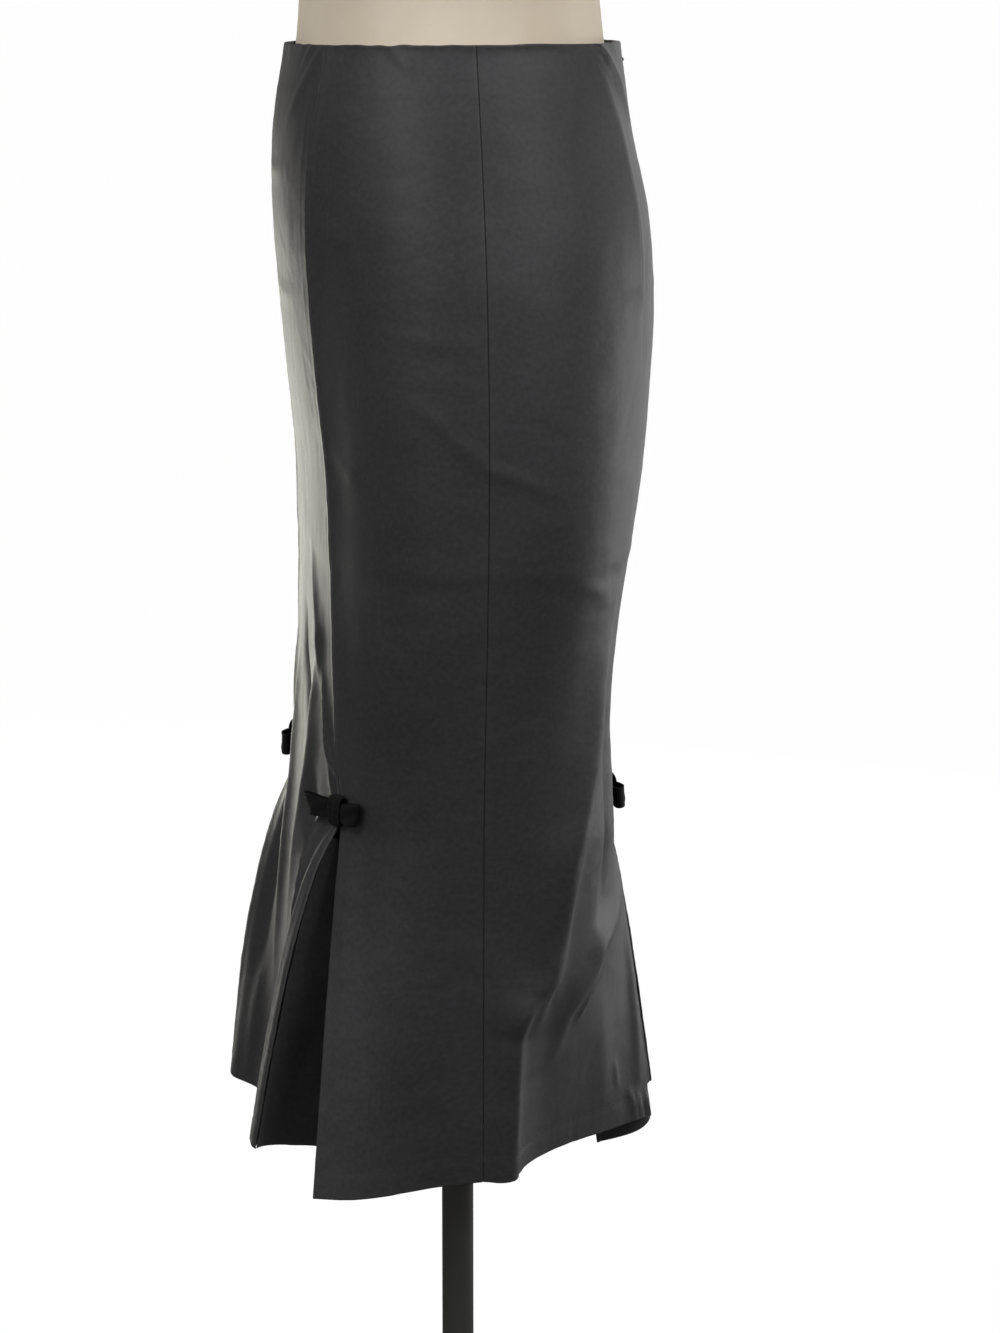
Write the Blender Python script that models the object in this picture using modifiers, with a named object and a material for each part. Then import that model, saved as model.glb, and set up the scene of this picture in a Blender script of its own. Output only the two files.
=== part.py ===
"""Pencil skirt with three bow-topped pleats, worn by a limbless dress form on a pole stand.

Metres, +Z up. The skirt's front faces -Y and the wearer's left is +X. The origin is the
middle of the base disc's underside, and the pole stands on it along Z. The skirt is cut as
a front, two side fronts and two backs. Each front seam and the centre back seam open below
a bow, and an inlay set into each opening folds inwards as a pleat.
"""

import math
from collections import namedtuple

import bmesh
import bpy
from mathutils import Matrix, Vector

# ---------------------------------------------------------------- driving dimensions

SKIRT_TOP = 1.000
WAIST_TILT = 0.036  # how much the waist edge rises towards the wearer's left, for each metre
HEM = 0.327
CLOTH = 0.0013
SEAM_GAP = 0.0003
LAP_GAP = 0.0005
SIDE_SEAM_Y = -0.008

FRONT_PLEAT_TOP = 0.541
BACK_PLEAT_TOP = 0.5205

ZIP_END = 0.800
ZIP_HALF_WIDTH = 0.0005
ZIP_DEPTH = 0.0012
ZIP_SUNK = 0.0002

FORM_UNDERSIDE = 0.700
FORM_EDGE = 0.004
FORM_EDGE_SCALE = 0.975
FORM_HIP_LEVELS = 12
FORM_COLUMNS = 36
BUST_LEVEL = 1.300
NECK_CAP_RADIUS = 0.046
POLE_RADIUS = 0.010
FLANGE_RADIUS = 0.036
FLANGE_THICK = 0.005
BASE_RADIUS = 0.180
BASE_THICK = 0.008
HUB_TOP = 0.040
HUB_RADIUS = 0.017
HUB_FOOT_RADIUS = 0.034

UPPER_ROWS = 15
LOWER_ROWS = 10

# The skirt's outer surface, by height: half of its width, how far it reaches to the front
# and back of the pole's axis, and how square the section is (2 is an ellipse).
Section = namedtuple("Section", "z half_width front back fullness")
SKIRT_SECTIONS = [
    Section(0.520, 0.1460, -0.1015, 0.0940, 2.35),
    Section(0.560, 0.1480, -0.0990, 0.0912, 2.40),
    Section(0.600, 0.1520, -0.0966, 0.0892, 2.45),
    Section(0.650, 0.1580, -0.0940, 0.0924, 2.50),
    Section(0.700, 0.1630, -0.0929, 0.0999, 2.50),
    Section(0.750, 0.1660, -0.0943, 0.1078, 2.42),
    Section(0.800, 0.1660, -0.0995, 0.1132, 2.32),
    Section(0.850, 0.1620, -0.1045, 0.1160, 2.27),
    Section(0.900, 0.1535, -0.1084, 0.1131, 2.25),
    Section(0.950, 0.1405, -0.1080, 0.1030, 2.25),
    Section(1.000, 0.1250, -0.1005, 0.0967, 2.25),
]

# How far the form lies inside the skirt's outer surface.
StandOff = namedtuple("StandOff", "z side front back")
STAND_OFFS = [
    StandOff(0.700, 0.0028, 0.0028, 0.0028),
    StandOff(0.760, 0.0023, 0.0024, 0.0023),
    StandOff(0.840, 0.0023, 0.0023, 0.0023),
    StandOff(0.900, 0.0026, 0.0030, 0.0032),
    StandOff(0.950, 0.0036, 0.0048, 0.0058),
    StandOff(1.000, 0.0056, 0.0074, 0.0104),
]

# The form above the skirt, up to its neck.
BUST_SECTIONS = [
    Section(1.030, 0.1178, -0.0915, 0.0835, 2.22),
    Section(1.080, 0.1225, -0.0935, 0.0810, 2.20),
    Section(1.150, 0.1345, -0.1030, 0.0845, 2.20),
    Section(1.220, 0.1480, -0.1190, 0.0905, 2.20),
    Section(1.270, 0.1560, -0.1230, 0.0950, 2.20),
    Section(1.330, 0.1640, -0.1080, 0.0990, 2.25),
    Section(1.380, 0.1630, -0.0860, 0.0960, 2.25),
    Section(1.410, 0.1440, -0.0680, 0.0860, 2.15),
    Section(1.432, 0.1060, -0.0560, 0.0740, 2.05),
    Section(1.450, 0.0720, -0.0520, 0.0650, 2.00),
    Section(1.480, 0.0580, -0.0500, 0.0580, 2.00),
    Section(1.520, 0.0560, -0.0480, 0.0550, 2.00),
]

# The front seams' distance from the middle, by height.
SeamPlace = namedtuple("SeamPlace", "z across")
FRONT_SEAM = [
    SeamPlace(0.520, 0.0935),
    SeamPlace(0.552, 0.0920),
    SeamPlace(0.600, 0.0870),
    SeamPlace(0.650, 0.0810),
    SeamPlace(0.700, 0.0765),
    SeamPlace(0.800, 0.0745),
    SeamPlace(0.900, 0.0750),
    SeamPlace(0.960, 0.0765),
    SeamPlace(1.000, 0.0740),
]

# A panel's hem seen from above, one row for each point that shapes it: its place, how far
# it lifts above the level hem, and how soon below the bow it gets there (1 is evenly).
HemPoint = namedtuple("HemPoint", "x y lift soon")
FRONT_HEM = [
    HemPoint(-0.1215, -0.1180, 0.004, 0.85),
    HemPoint(-0.1150, -0.1290, 0.002, 0.80),
    HemPoint(-0.1008, -0.1327, 0.000, 0.75),
    HemPoint(-0.0753, -0.1215, 0.001, 0.80),
    HemPoint(-0.0400, -0.1150, 0.002, 0.90),
    HemPoint(0.0000, -0.1170, 0.005, 0.90),
    HemPoint(0.0450, -0.1220, 0.012, 0.80),
    HemPoint(0.0780, -0.1345, 0.021, 0.70),
    HemPoint(0.0960, -0.1412, 0.023, 0.62),
    HemPoint(0.1060, -0.1432, 0.023, 0.60),
    HemPoint(0.1130, -0.1425, 0.023, 0.60),
]
LEFT_SIDE_HEM = [
    HemPoint(0.1435, -0.1112, 0.000, 0.85),
    HemPoint(0.1500, -0.0900, 0.000, 0.90),
    HemPoint(0.1480, -0.0690, 0.000, 0.95),
    HemPoint(0.1385, -0.0400, 0.000, 1.00),
    HemPoint(0.1325, -0.0060, 0.000, 1.00),
]
RIGHT_SIDE_HEM = [
    HemPoint(-0.1330, -0.0060, 0.000, 1.00),
    HemPoint(-0.1420, -0.0400, 0.002, 1.00),
    HemPoint(-0.1490, -0.0690, 0.002, 0.95),
    HemPoint(-0.1500, -0.0880, 0.003, 0.90),
    HemPoint(-0.1455, -0.1040, 0.004, 0.85),
]
LEFT_BACK_HEM = [
    HemPoint(0.1325, -0.0060, 0.000, 1.00),
    HemPoint(0.1330, 0.0060, 0.000, 1.05),
    HemPoint(0.1160, 0.0190, 0.001, 1.10),
    HemPoint(0.0960, 0.0340, 0.001, 1.10),
    HemPoint(0.0760, 0.0550, 0.001, 1.00),
    HemPoint(0.0520, 0.0850, 0.000, 0.85),
    HemPoint(0.0250, 0.1202, 0.000, 0.70),
]
RIGHT_BACK_HEM = [
    HemPoint(-0.0450, 0.1360, 0.000, 0.75),
    HemPoint(-0.0640, 0.1180, 0.001, 0.85),
    HemPoint(-0.0820, 0.0850, 0.001, 1.00),
    HemPoint(-0.1020, 0.0560, 0.001, 1.05),
    HemPoint(-0.1220, 0.0330, 0.000, 1.05),
    HemPoint(-0.1350, 0.0120, 0.000, 1.05),
    HemPoint(-0.1330, -0.0060, 0.000, 1.00),
]

# A fold's crest, by height: how far across its panel it runs, and how high it stands.
CrestPoint = namedtuple("CrestPoint", "z across height")
FOLD_WIDTH = 0.011
LEFT_BACK_FOLDS = [
    [
        CrestPoint(0.350, 0.070, 0.0020),
        CrestPoint(0.430, 0.110, 0.0035),
        CrestPoint(0.490, 0.330, 0.0040),
        CrestPoint(0.540, 0.520, 0.0034),
        CrestPoint(0.600, 0.680, 0.0016),
        CrestPoint(0.660, 0.800, 0.0000),
    ],
    [
        CrestPoint(0.360, 0.300, 0.0000),
        CrestPoint(0.400, 0.380, 0.0020),
        CrestPoint(0.450, 0.520, 0.0034),
        CrestPoint(0.500, 0.700, 0.0026),
        CrestPoint(0.540, 0.880, 0.0000),
    ],
]
RIGHT_BACK_FOLDS = [
    [
        CrestPoint(0.340, 0.900, 0.0018),
        CrestPoint(0.430, 0.840, 0.0030),
        CrestPoint(0.490, 0.640, 0.0034),
        CrestPoint(0.550, 0.420, 0.0024),
        CrestPoint(0.640, 0.240, 0.0000),
    ],
    [
        CrestPoint(0.370, 0.560, 0.0000),
        CrestPoint(0.430, 0.460, 0.0026),
        CrestPoint(0.480, 0.300, 0.0024),
        CrestPoint(0.530, 0.140, 0.0000),
    ],
]
FRONT_FOLDS = [
    [
        CrestPoint(0.400, 0.640, 0.0000),
        CrestPoint(0.480, 0.720, 0.0024),
        CrestPoint(0.560, 0.780, 0.0018),
        CrestPoint(0.680, 0.800, 0.0000),
    ],
    [
        CrestPoint(0.400, 0.300, 0.0000),
        CrestPoint(0.480, 0.240, 0.0020),
        CrestPoint(0.560, 0.200, 0.0016),
        CrestPoint(0.660, 0.180, 0.0000),
    ],
]

# An inlay's inner fold: its place just under the bow and at the hem, and the hem's height.
Inlay = namedtuple("Inlay", "name before after top_x top_y hem_x hem_y hem_z")
INLAYS = [
    Inlay("front_inlay_left", "front_panel", "side_front_left", 0.0880, -0.080, 0.090, -0.083, 0.3370),
    Inlay("front_inlay_right", "side_front_right", "front_panel", -0.0880, -0.080, -0.090, -0.081, 0.3330),
    Inlay("back_inlay", "back_left", "back_right", 0.0000, 0.085, 0.013, 0.090, 0.3085),
]
INLAY_FIRST_ROW = 1
INLAY_FOLD_HALF = 0.0030
INLAY_STEPS = (1 / 3, 2 / 3)

# One half of a bow's ribbon, from its middle behind the knot round the loop and back to
# its middle in front: along the skirt, out from it, and half of the ribbon's height.
RibbonPoint = namedtuple("RibbonPoint", "along out half_height")
HALF_BOW = [
    RibbonPoint(0.0050, 0.0020, 0.0050),
    RibbonPoint(0.0130, 0.0018, 0.0058),
    RibbonPoint(0.0220, 0.0022, 0.0065),
    RibbonPoint(0.0272, 0.0028, 0.0068),
    RibbonPoint(0.0286, 0.0043, 0.0069),
    RibbonPoint(0.0268, 0.0059, 0.0068),
    RibbonPoint(0.0210, 0.0068, 0.0066),
    RibbonPoint(0.0120, 0.0060, 0.0058),
    RibbonPoint(0.0050, 0.0044, 0.0050),
]
RIBBON = 0.0008
KNOT_HALF_WIDTH = 0.0048
KNOT_HALF_HEIGHT = 0.0088
KNOT_BACK = 0.0012
KNOT_FRONT = 0.0058
KNOT_STEPS = 18

# A knot's band from edge to edge: the share of its half width, and how far it is pinched in.
KnotRing = namedtuple("KnotRing", "side pinch")
KNOT_RINGS = [KnotRing(-1.0, 0.90), KnotRing(-0.6, 1.0), KnotRing(0.6, 1.0), KnotRing(1.0, 0.90)]

# A bow: the height of its knot, how far the knot lies past the seam, its slant along the
# skirt, the length of its two loops and how far they puff out, each against HALF_BOW.
Bow = namedtuple("Bow", "name z shift slant first_loop last_loop puff")
BOWS = [
    Bow("front_left", 0.5525, 0.0030, 0.050, 1.08, 0.72, 1.00),
    Bow("front_right", 0.5570, 0.0000, -0.030, 0.90, 1.00, 1.25),
    Bow("back", 0.5355, 0.0000, 0.000, 1.00, 0.95, 1.45),
]

SLIDER_BELOW_TOP = 0.0120
SLIDER_WIDTH = 0.0050
SLIDER_LENGTH = 0.0085
SLIDER_THICK = 0.0016
LUG_THICK = 0.0008
LUG_LENGTH = 0.0026
LUG_SUNK = 0.0004
PIN_RADIUS = 0.0005
PIN_OUT = 0.0019
BARREL_RADIUS = 0.0013
BARREL_BORE = 0.0008
BARREL_HALF = 0.0013
PULL_LENGTH = 0.0170
PULL_HALF_WIDTH = 0.0027
PULL_THICK = 0.0010
PULL_NECK = 0.0011


# ---------------------------------------------------------------- scene and materials


def clear_scene():
    """Empty the file, so that the model is built from nothing."""
    for item in list(bpy.data.objects):
        bpy.data.objects.remove(item, do_unlink=True)


def new_collection(name):
    """A collection in the scene for the parts or the cutters."""
    group = bpy.data.collections.new(name)
    bpy.context.scene.collection.children.link(group)
    return group


def material(name, colour, roughness, metallic=0.0):
    """A plain Principled material."""
    made = bpy.data.materials.new(name)
    made.use_nodes = True
    shader = made.node_tree.nodes["Principled BSDF"]
    shader.inputs["Base Color"].default_value = (*colour, 1.0)
    shader.inputs["Roughness"].default_value = roughness
    shader.inputs["Metallic"].default_value = metallic
    return made


def add_mesh(name, mesh, finish, group):
    """A named object for a mesh, with its material, in its collection."""
    made = bpy.data.objects.new(name, mesh)
    mesh.materials.append(finish)
    group.objects.link(made)
    return made


def from_bmesh(name, shape):
    """A mesh from a bmesh, shaded smooth but for its sharp edges."""
    mesh = bpy.data.meshes.new(name)
    shape.to_mesh(mesh)
    shape.free()
    mesh.shade_smooth()
    mesh.set_sharp_from_angle(angle=math.radians(40))
    return mesh


def thicken(item, depth, side=-1.0):
    """Give an open surface its wall, on the side away from its faces."""
    wall = item.modifiers.new("wall", "SOLIDIFY")
    wall.thickness = depth
    wall.offset = side
    wall.use_even_offset = True
    wall.use_quality_normals = True


def apply_modifiers(item):
    """Make the evaluated shape of an object its own mesh."""
    bpy.context.view_layer.update()
    graph = bpy.context.evaluated_depsgraph_get()
    mesh = bpy.data.meshes.new_from_object(item.evaluated_get(graph))
    item.modifiers.clear()
    item.data = mesh


def unite(item, others):
    """Join other solids to a solid, and remove them."""
    for other in others:
        joint = item.modifiers.new("join", "BOOLEAN")
        joint.operation = "UNION"
        joint.object = other
    apply_modifiers(item)
    for other in others:
        bpy.data.objects.remove(other, do_unlink=True)


# ---------------------------------------------------------------- curves and sections


def smooth(rows, column, z):
    """A table's column at a height, on a smooth curve through its rows."""
    heights = [row.z for row in rows]
    values = [getattr(row, column) for row in rows]
    last = len(rows) - 1
    z = min(max(z, heights[0]), heights[last])
    low = max(i for i in range(last) if heights[i] <= z)

    def slope(i):
        before, after = max(i - 1, 0), min(i + 1, last)
        return (values[after] - values[before]) / (heights[after] - heights[before])

    span = heights[low + 1] - heights[low]
    f = (z - heights[low]) / span
    rise = values[low + 1] - values[low]
    start, end = slope(low) * span, slope(low + 1) * span
    return values[low] + f * start + f**2 * (3 * rise - 2 * start - end) + f**3 * (start + end - 2 * rise)


def along(first, last, f):
    """The value a fraction of the way from one to another."""
    return first + (last - first) * f


def section_point(z, angle, sections, inset=None):
    """A point of a section: angle 0 is the left side seam, 90 degrees the centre back."""
    reach = {name: smooth(sections, name, z) for name in Section._fields[1:]}
    c, s = math.cos(angle), math.sin(angle)
    width = reach["half_width"]
    depth = reach["back"] - SIDE_SEAM_Y if s > 0 else SIDE_SEAM_Y - reach["front"]
    if inset:
        width -= smooth(inset, "side", z)
        depth -= smooth(inset, "back" if s > 0 else "front", z)
    power = 2 / reach["fullness"]
    x = width * math.copysign(abs(c) ** power, c)
    y = SIDE_SEAM_Y + depth * math.copysign(abs(s) ** power, s)
    return Vector((x, y, z))


def front_seam_angle(z):
    """Where round the section the left front seam lies."""
    share = smooth(FRONT_SEAM, "across", z) / smooth(SKIRT_SECTIONS, "half_width", z)
    return -math.acos(share ** (smooth(SKIRT_SECTIONS, "fullness", z) / 2))


def resampled(points, count, cut_first=0.0, cut_last=0.0):
    """Evenly spaced points along a line of points, less a length cut off each end."""
    reached = [0.0]
    for before, after in zip(points, points[1:]):
        reached.append(reached[-1] + (after - before).length)
    first, last = cut_first, reached[-1] - cut_last
    result = []
    i = 0
    for step in range(count + 1):
        target = along(first, last, step / count)
        while i < len(points) - 2 and reached[i + 1] < target:
            i += 1
        span = max(reached[i + 1] - reached[i], 1e-9)
        result.append(points[i].lerp(points[i + 1], (target - reached[i]) / span))
    return result


def smooth_line(points, steps=8):
    """A smooth curve through points of any dimension, as a finer line of points."""
    padded = [points[0] * 2 - points[1], *points, points[-1] * 2 - points[-2]]
    result = []
    for a, b, c, d in zip(padded, padded[1:], padded[2:], padded[3:]):
        for step in range(steps):
            f = step / steps
            result.append(
                b
                + (c - a) * (f / 2)
                + (a * 2 - b * 5 + c * 4 - d) * (f**2 / 2)
                + (b * 3 - a - c * 3 + d) * (f**3 / 2)
            )
    result.append(points[-1].copy())
    return result


# ---------------------------------------------------------------- skirt panels

Panel = namedtuple("Panel", "name first_angle last_angle columns hem folds first_pleat last_pleat")


def skirt_panels():
    """The five panels, each running anticlockwise seen from above."""
    front, back, turn = FRONT_PLEAT_TOP, BACK_PLEAT_TOP, math.pi
    return [
        Panel(
            "front_panel", lambda z: -turn - front_seam_angle(z), front_seam_angle, 18, FRONT_HEM,
            FRONT_FOLDS, front, front,
        ),
        Panel(
            "side_front_left", front_seam_angle, lambda z: 0.0, 11, LEFT_SIDE_HEM, [], front, front
        ),
        Panel(
            "back_left", lambda z: 0.0, lambda z: turn / 2, 16, LEFT_BACK_HEM, LEFT_BACK_FOLDS,
            front, back,
        ),
        Panel(
            "back_right", lambda z: turn / 2, lambda z: turn, 16, RIGHT_BACK_HEM, RIGHT_BACK_FOLDS,
            back, front,
        ),
        Panel(
            "side_front_right", lambda z: turn, lambda z: turn - front_seam_angle(z), 11,
            RIGHT_SIDE_HEM, [], front, front,
        ),
    ]


def seam_cuts(panel, z):
    """How much of a panel's line is left off at its two edges for the seam or the zip."""
    half = SEAM_GAP / 2
    zip_half = ZIP_HALF_WIDTH + SEAM_GAP if z > ZIP_END else half
    first = zip_half if panel.name == "back_right" else half
    last = zip_half if panel.name == "back_left" else half
    return first, last


def upper_line(panel, z):
    """A panel's line across, at a height above the pleats."""
    first, last = panel.first_angle(z), panel.last_angle(z)
    fine = 4 * panel.columns
    points = [section_point(z, along(first, last, i / fine), SKIRT_SECTIONS) for i in range(fine + 1)]
    return resampled(points, panel.columns, *seam_cuts(panel, z))


def hem_line(panel):
    """A panel's hem, each point with its place, its height and how soon it flares."""
    points = [Vector((p.x, p.y, HEM + p.lift, p.soon)) for p in panel.hem]
    half = SEAM_GAP / 2
    return resampled(smooth_line(points), panel.columns, half, half)


def crest_height(fold, across, z, panel_width):
    """How far a fold lifts a point of its panel."""
    if z <= fold[0].z:
        centre, height = fold[0].across, fold[0].height
    elif z >= fold[-1].z:
        return 0.0
    else:
        centre, height = smooth(fold, "across", z), smooth(fold, "height", z)
    return height * math.exp(-(((across - centre) * panel_width / FOLD_WIDTH) ** 2))


def raise_folds(row, folds):
    """Move a row's points out where folds cross it, leaving its two ends."""
    width = sum((b - a).length for a, b in zip(row, row[1:]))
    count = len(row) - 1
    moved = [row[0]]
    for i in range(1, count):
        run = (row[i + 1] - row[i - 1]).to_2d().normalized()
        lift = sum(crest_height(fold, i / count, row[i].z, width) for fold in folds)
        moved.append(row[i] + Vector((run.y, -run.x, 0.0)) * lift)
    moved.append(row[count])
    return moved


def panel_rows(panel):
    """A panel's outer surface: rows of points from its top edge down to its hem."""
    count = panel.columns
    pleats = [along(panel.first_pleat, panel.last_pleat, i / count) for i in range(count + 1)]
    tops = [SKIRT_TOP + WAIST_TILT * point.x for point in upper_line(panel, SKIRT_TOP)]
    rows = []
    for r in range(UPPER_ROWS + 1):
        heights = [along(top, z, r / UPPER_ROWS) for top, z in zip(tops, pleats)]
        rows.append([upper_line(panel, z)[i] for i, z in enumerate(heights)])
    hem = hem_line(panel)
    for r in range(1, LOWER_ROWS + 1):
        share = r / LOWER_ROWS
        row = []
        for start, end in zip(rows[UPPER_ROWS], hem):
            place = start.to_2d().lerp(end.to_2d(), share ** end.w)
            row.append(Vector((place.x, place.y, along(start.z, end.z, share))))
        rows.append(row)
    return [raise_folds(row, panel.folds) for row in rows]


def sheet_mesh(name, rows):
    """An open surface through rows of points, its faces away from the wearer."""
    shape = bmesh.new()
    grid = [[shape.verts.new(point) for point in row] for row in rows]
    for upper, lower in zip(grid, grid[1:]):
        for i in range(len(upper) - 1):
            shape.faces.new((upper[i], lower[i], lower[i + 1], upper[i + 1]))
    return from_bmesh(name, shape)


# ---------------------------------------------------------------- inlays


def lap(edge, neighbour, run):
    """Two points behind a panel's edge: half a column in, and at the edge."""
    level = run.to_2d().normalized()
    inside = Vector((-level.y, level.x, 0.0)) * (CLOTH + LAP_GAP)
    return edge.lerp(neighbour, 0.5) + inside, edge + inside


def inlay_rows(inlay, panels):
    """An inlay's outer surface: it laps behind one panel, folds inwards and laps the next."""
    before, after = panels[inlay.before], panels[inlay.after]
    rows = []
    first = UPPER_ROWS + INLAY_FIRST_ROW
    for r in range(first, UPPER_ROWS + LOWER_ROWS + 1):
        share = (r - UPPER_ROWS) / LOWER_ROWS
        edge, neighbour = before[r][-1], before[r][-2]
        lap_out, start = lap(edge, neighbour, edge - neighbour)
        edge, neighbour = after[r][0], after[r][1]
        lap_back, end = lap(edge, neighbour, neighbour - edge)
        top_z = (before[UPPER_ROWS][-1].z + after[UPPER_ROWS][0].z) / 2
        fold = Vector((
            along(inlay.top_x, inlay.hem_x, share),
            along(inlay.top_y, inlay.hem_y, share),
            along(top_z, inlay.hem_z, share),
        ))
        half = (end - start).normalized() * INLAY_FOLD_HALF * share
        turn_in, turn_out = fold - half, fold + half
        row = [lap_out, start]
        row += [start.lerp(turn_in, f) for f in INLAY_STEPS]
        row += [turn_in, turn_out]
        row += [turn_out.lerp(end, f) for f in INLAY_STEPS]
        rows.append(row + [end, lap_back])
    return rows


# ---------------------------------------------------------------- bows


def places_on_skirt(bow, seam_angle):
    """A function from a distance along the skirt from a knot, out of it and up it, to a place."""
    z = bow.z
    spread = 26
    angles = [seam_angle + math.radians(step) for step in range(-spread, spread + 1)]
    points = [section_point(z, angle, SKIRT_SECTIONS) for angle in angles]
    reached = [0.0]
    for before, after in zip(points, points[1:]):
        reached.append(reached[-1] + (after - before).length)
    middle = reached[spread] + bow.shift
    above = section_point(z + KNOT_HALF_HEIGHT, seam_angle, SKIRT_SECTIONS)
    below = section_point(z - KNOT_HALF_HEIGHT, seam_angle, SKIRT_SECTIONS)
    up = (above - below).normalized()

    def place(distance, out, rise):
        target = middle + distance
        i = max(i for i in range(len(points) - 1) if reached[i] <= target)
        f = (target - reached[i]) / (reached[i + 1] - reached[i])
        run = points[i + 1] - points[i]
        square = run.cross(up).normalized()
        return points[i].lerp(points[i + 1], f) + square * out + up * (rise + bow.slant * distance)

    return place


def half_bow(bow, side):
    """One loop of a bow, on the side given, from behind the knot to in front of it."""
    root = HALF_BOW[0].along
    length = bow.last_loop if side > 0 else bow.first_loop
    points = []
    for row in HALF_BOW:
        reach = root + (row.along - root) * length
        out = RIBBON + (row.out - RIBBON) * bow.puff
        points.append(Vector((side * reach, out, row.half_height)))
    return points


def bow_ribbon(name, bow, place):
    """A bow's two loops: one closed band of ribbon, pinched where the knot holds it."""
    line = smooth_line(half_bow(bow, 1), 2) + smooth_line(half_bow(bow, -1)[::-1], 2)
    shape = bmesh.new()
    top = [shape.verts.new(place(p.x, p.y, p.z)) for p in line]
    bottom = [shape.verts.new(place(p.x, p.y, -p.z)) for p in line]
    count = len(line)
    for i in range(count):
        j = (i + 1) % count
        shape.faces.new((top[i], bottom[i], bottom[j], top[j]))
    bmesh.ops.recalc_face_normals(shape, faces=shape.faces)
    return from_bmesh(name, shape)


def knot_band(name, bow, place):
    """The band wound round a bow's middle, a ring with rounded corners."""
    front = RIBBON + (KNOT_FRONT - RIBBON) * bow.puff
    middle = (KNOT_BACK + front) / 2
    reach = (front - KNOT_BACK) / 2
    flat_front, flat_side = 0.55, 0.75
    shape = bmesh.new()
    rings = []
    for row in KNOT_RINGS:
        ring = []
        for step in range(KNOT_STEPS):
            angle = 2 * math.pi * step / KNOT_STEPS
            c, s = math.cos(angle), math.sin(angle)
            out = reach * math.copysign(abs(c) ** flat_front, c)
            rise = KNOT_HALF_HEIGHT * math.copysign(abs(s) ** flat_side, s) * row.pinch
            if out > 0:
                out *= row.pinch
            ring.append(shape.verts.new(place(row.side * KNOT_HALF_WIDTH, middle + out, rise)))
        rings.append(ring)
    for near, far in zip(rings, rings[1:]):
        for i in range(KNOT_STEPS):
            j = (i + 1) % KNOT_STEPS
            shape.faces.new((near[i], near[j], far[j], far[i]))
    bmesh.ops.recalc_face_normals(shape, faces=shape.faces)
    return from_bmesh(name, shape)


def build_bow(bow, seam_angle, finish, group):
    """A bow's loops and its knot, each its own solid."""
    place = places_on_skirt(bow, seam_angle)
    name = f"bow_{bow.name}"
    thicken(add_mesh(name, bow_ribbon(name, bow, place), finish, group), RIBBON, 0.0)
    name = f"knot_{bow.name}"
    thicken(add_mesh(name, knot_band(name, bow, place), finish, group), RIBBON, 1.0)


# ---------------------------------------------------------------- zip


def zip_chain_mesh(name, panels):
    """The closed chain, a strip that fills the gap between the two backs down to its end."""
    left, right = panels["back_left"], panels["back_right"]
    rows = []
    for r in range(UPPER_ROWS):
        if left[r][-1].z > ZIP_END:
            rows.append((left[r][-1], right[r][0]))
    shape = bmesh.new()
    rings = []
    for a, b in rows:
        middle = (a + b) / 2
        outer = middle.y - ZIP_SUNK
        corners = [
            (ZIP_HALF_WIDTH, outer), (-ZIP_HALF_WIDTH, outer),
            (-ZIP_HALF_WIDTH, outer - ZIP_DEPTH), (ZIP_HALF_WIDTH, outer - ZIP_DEPTH),
        ]
        rings.append([shape.verts.new((x, y, middle.z)) for x, y in corners])
    for upper, lower in zip(rings, rings[1:]):
        for i in range(4):
            j = (i + 1) % 4
            shape.faces.new((upper[i], lower[i], lower[j], upper[j]))
    shape.faces.new(rings[0])
    shape.faces.new(reversed(rings[-1]))
    bmesh.ops.recalc_face_normals(shape, faces=shape.faces)
    return from_bmesh(name, shape)


def block(name, size, place, finish, group):
    """A rectangular solid with its middle at a place."""
    shape = bmesh.new()
    bmesh.ops.create_cube(shape, size=1.0, matrix=Matrix.Translation(place) @ Matrix.Diagonal((*size, 1.0)))
    return add_mesh(name, from_bmesh(name, shape), finish, group)


def rod(name, radius, length, place, finish, group, sides=16):
    """A round bar along X with its middle at a place."""
    shape = bmesh.new()
    lie = Matrix.Translation(place) @ Matrix.Rotation(math.pi / 2, 4, "Y")
    bmesh.ops.create_cone(
        shape, cap_ends=True, segments=sides, radius1=radius, radius2=radius, depth=length, matrix=lie
    )
    return add_mesh(name, from_bmesh(name, shape), finish, group)


def back_frame(z):
    """A frame on the centre back at a height: across the skirt, out of it, and up it."""
    centre_back = math.pi / 2
    place = section_point(z, centre_back, SKIRT_SECTIONS)
    above = section_point(z + SLIDER_LENGTH / 2, centre_back, SKIRT_SECTIONS)
    across = Vector((1.0, 0.0, 0.0))
    up = (above - place).normalized()
    frame = Matrix((across, up.cross(across), up)).transposed().to_4x4()
    frame.translation = place
    return frame


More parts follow.
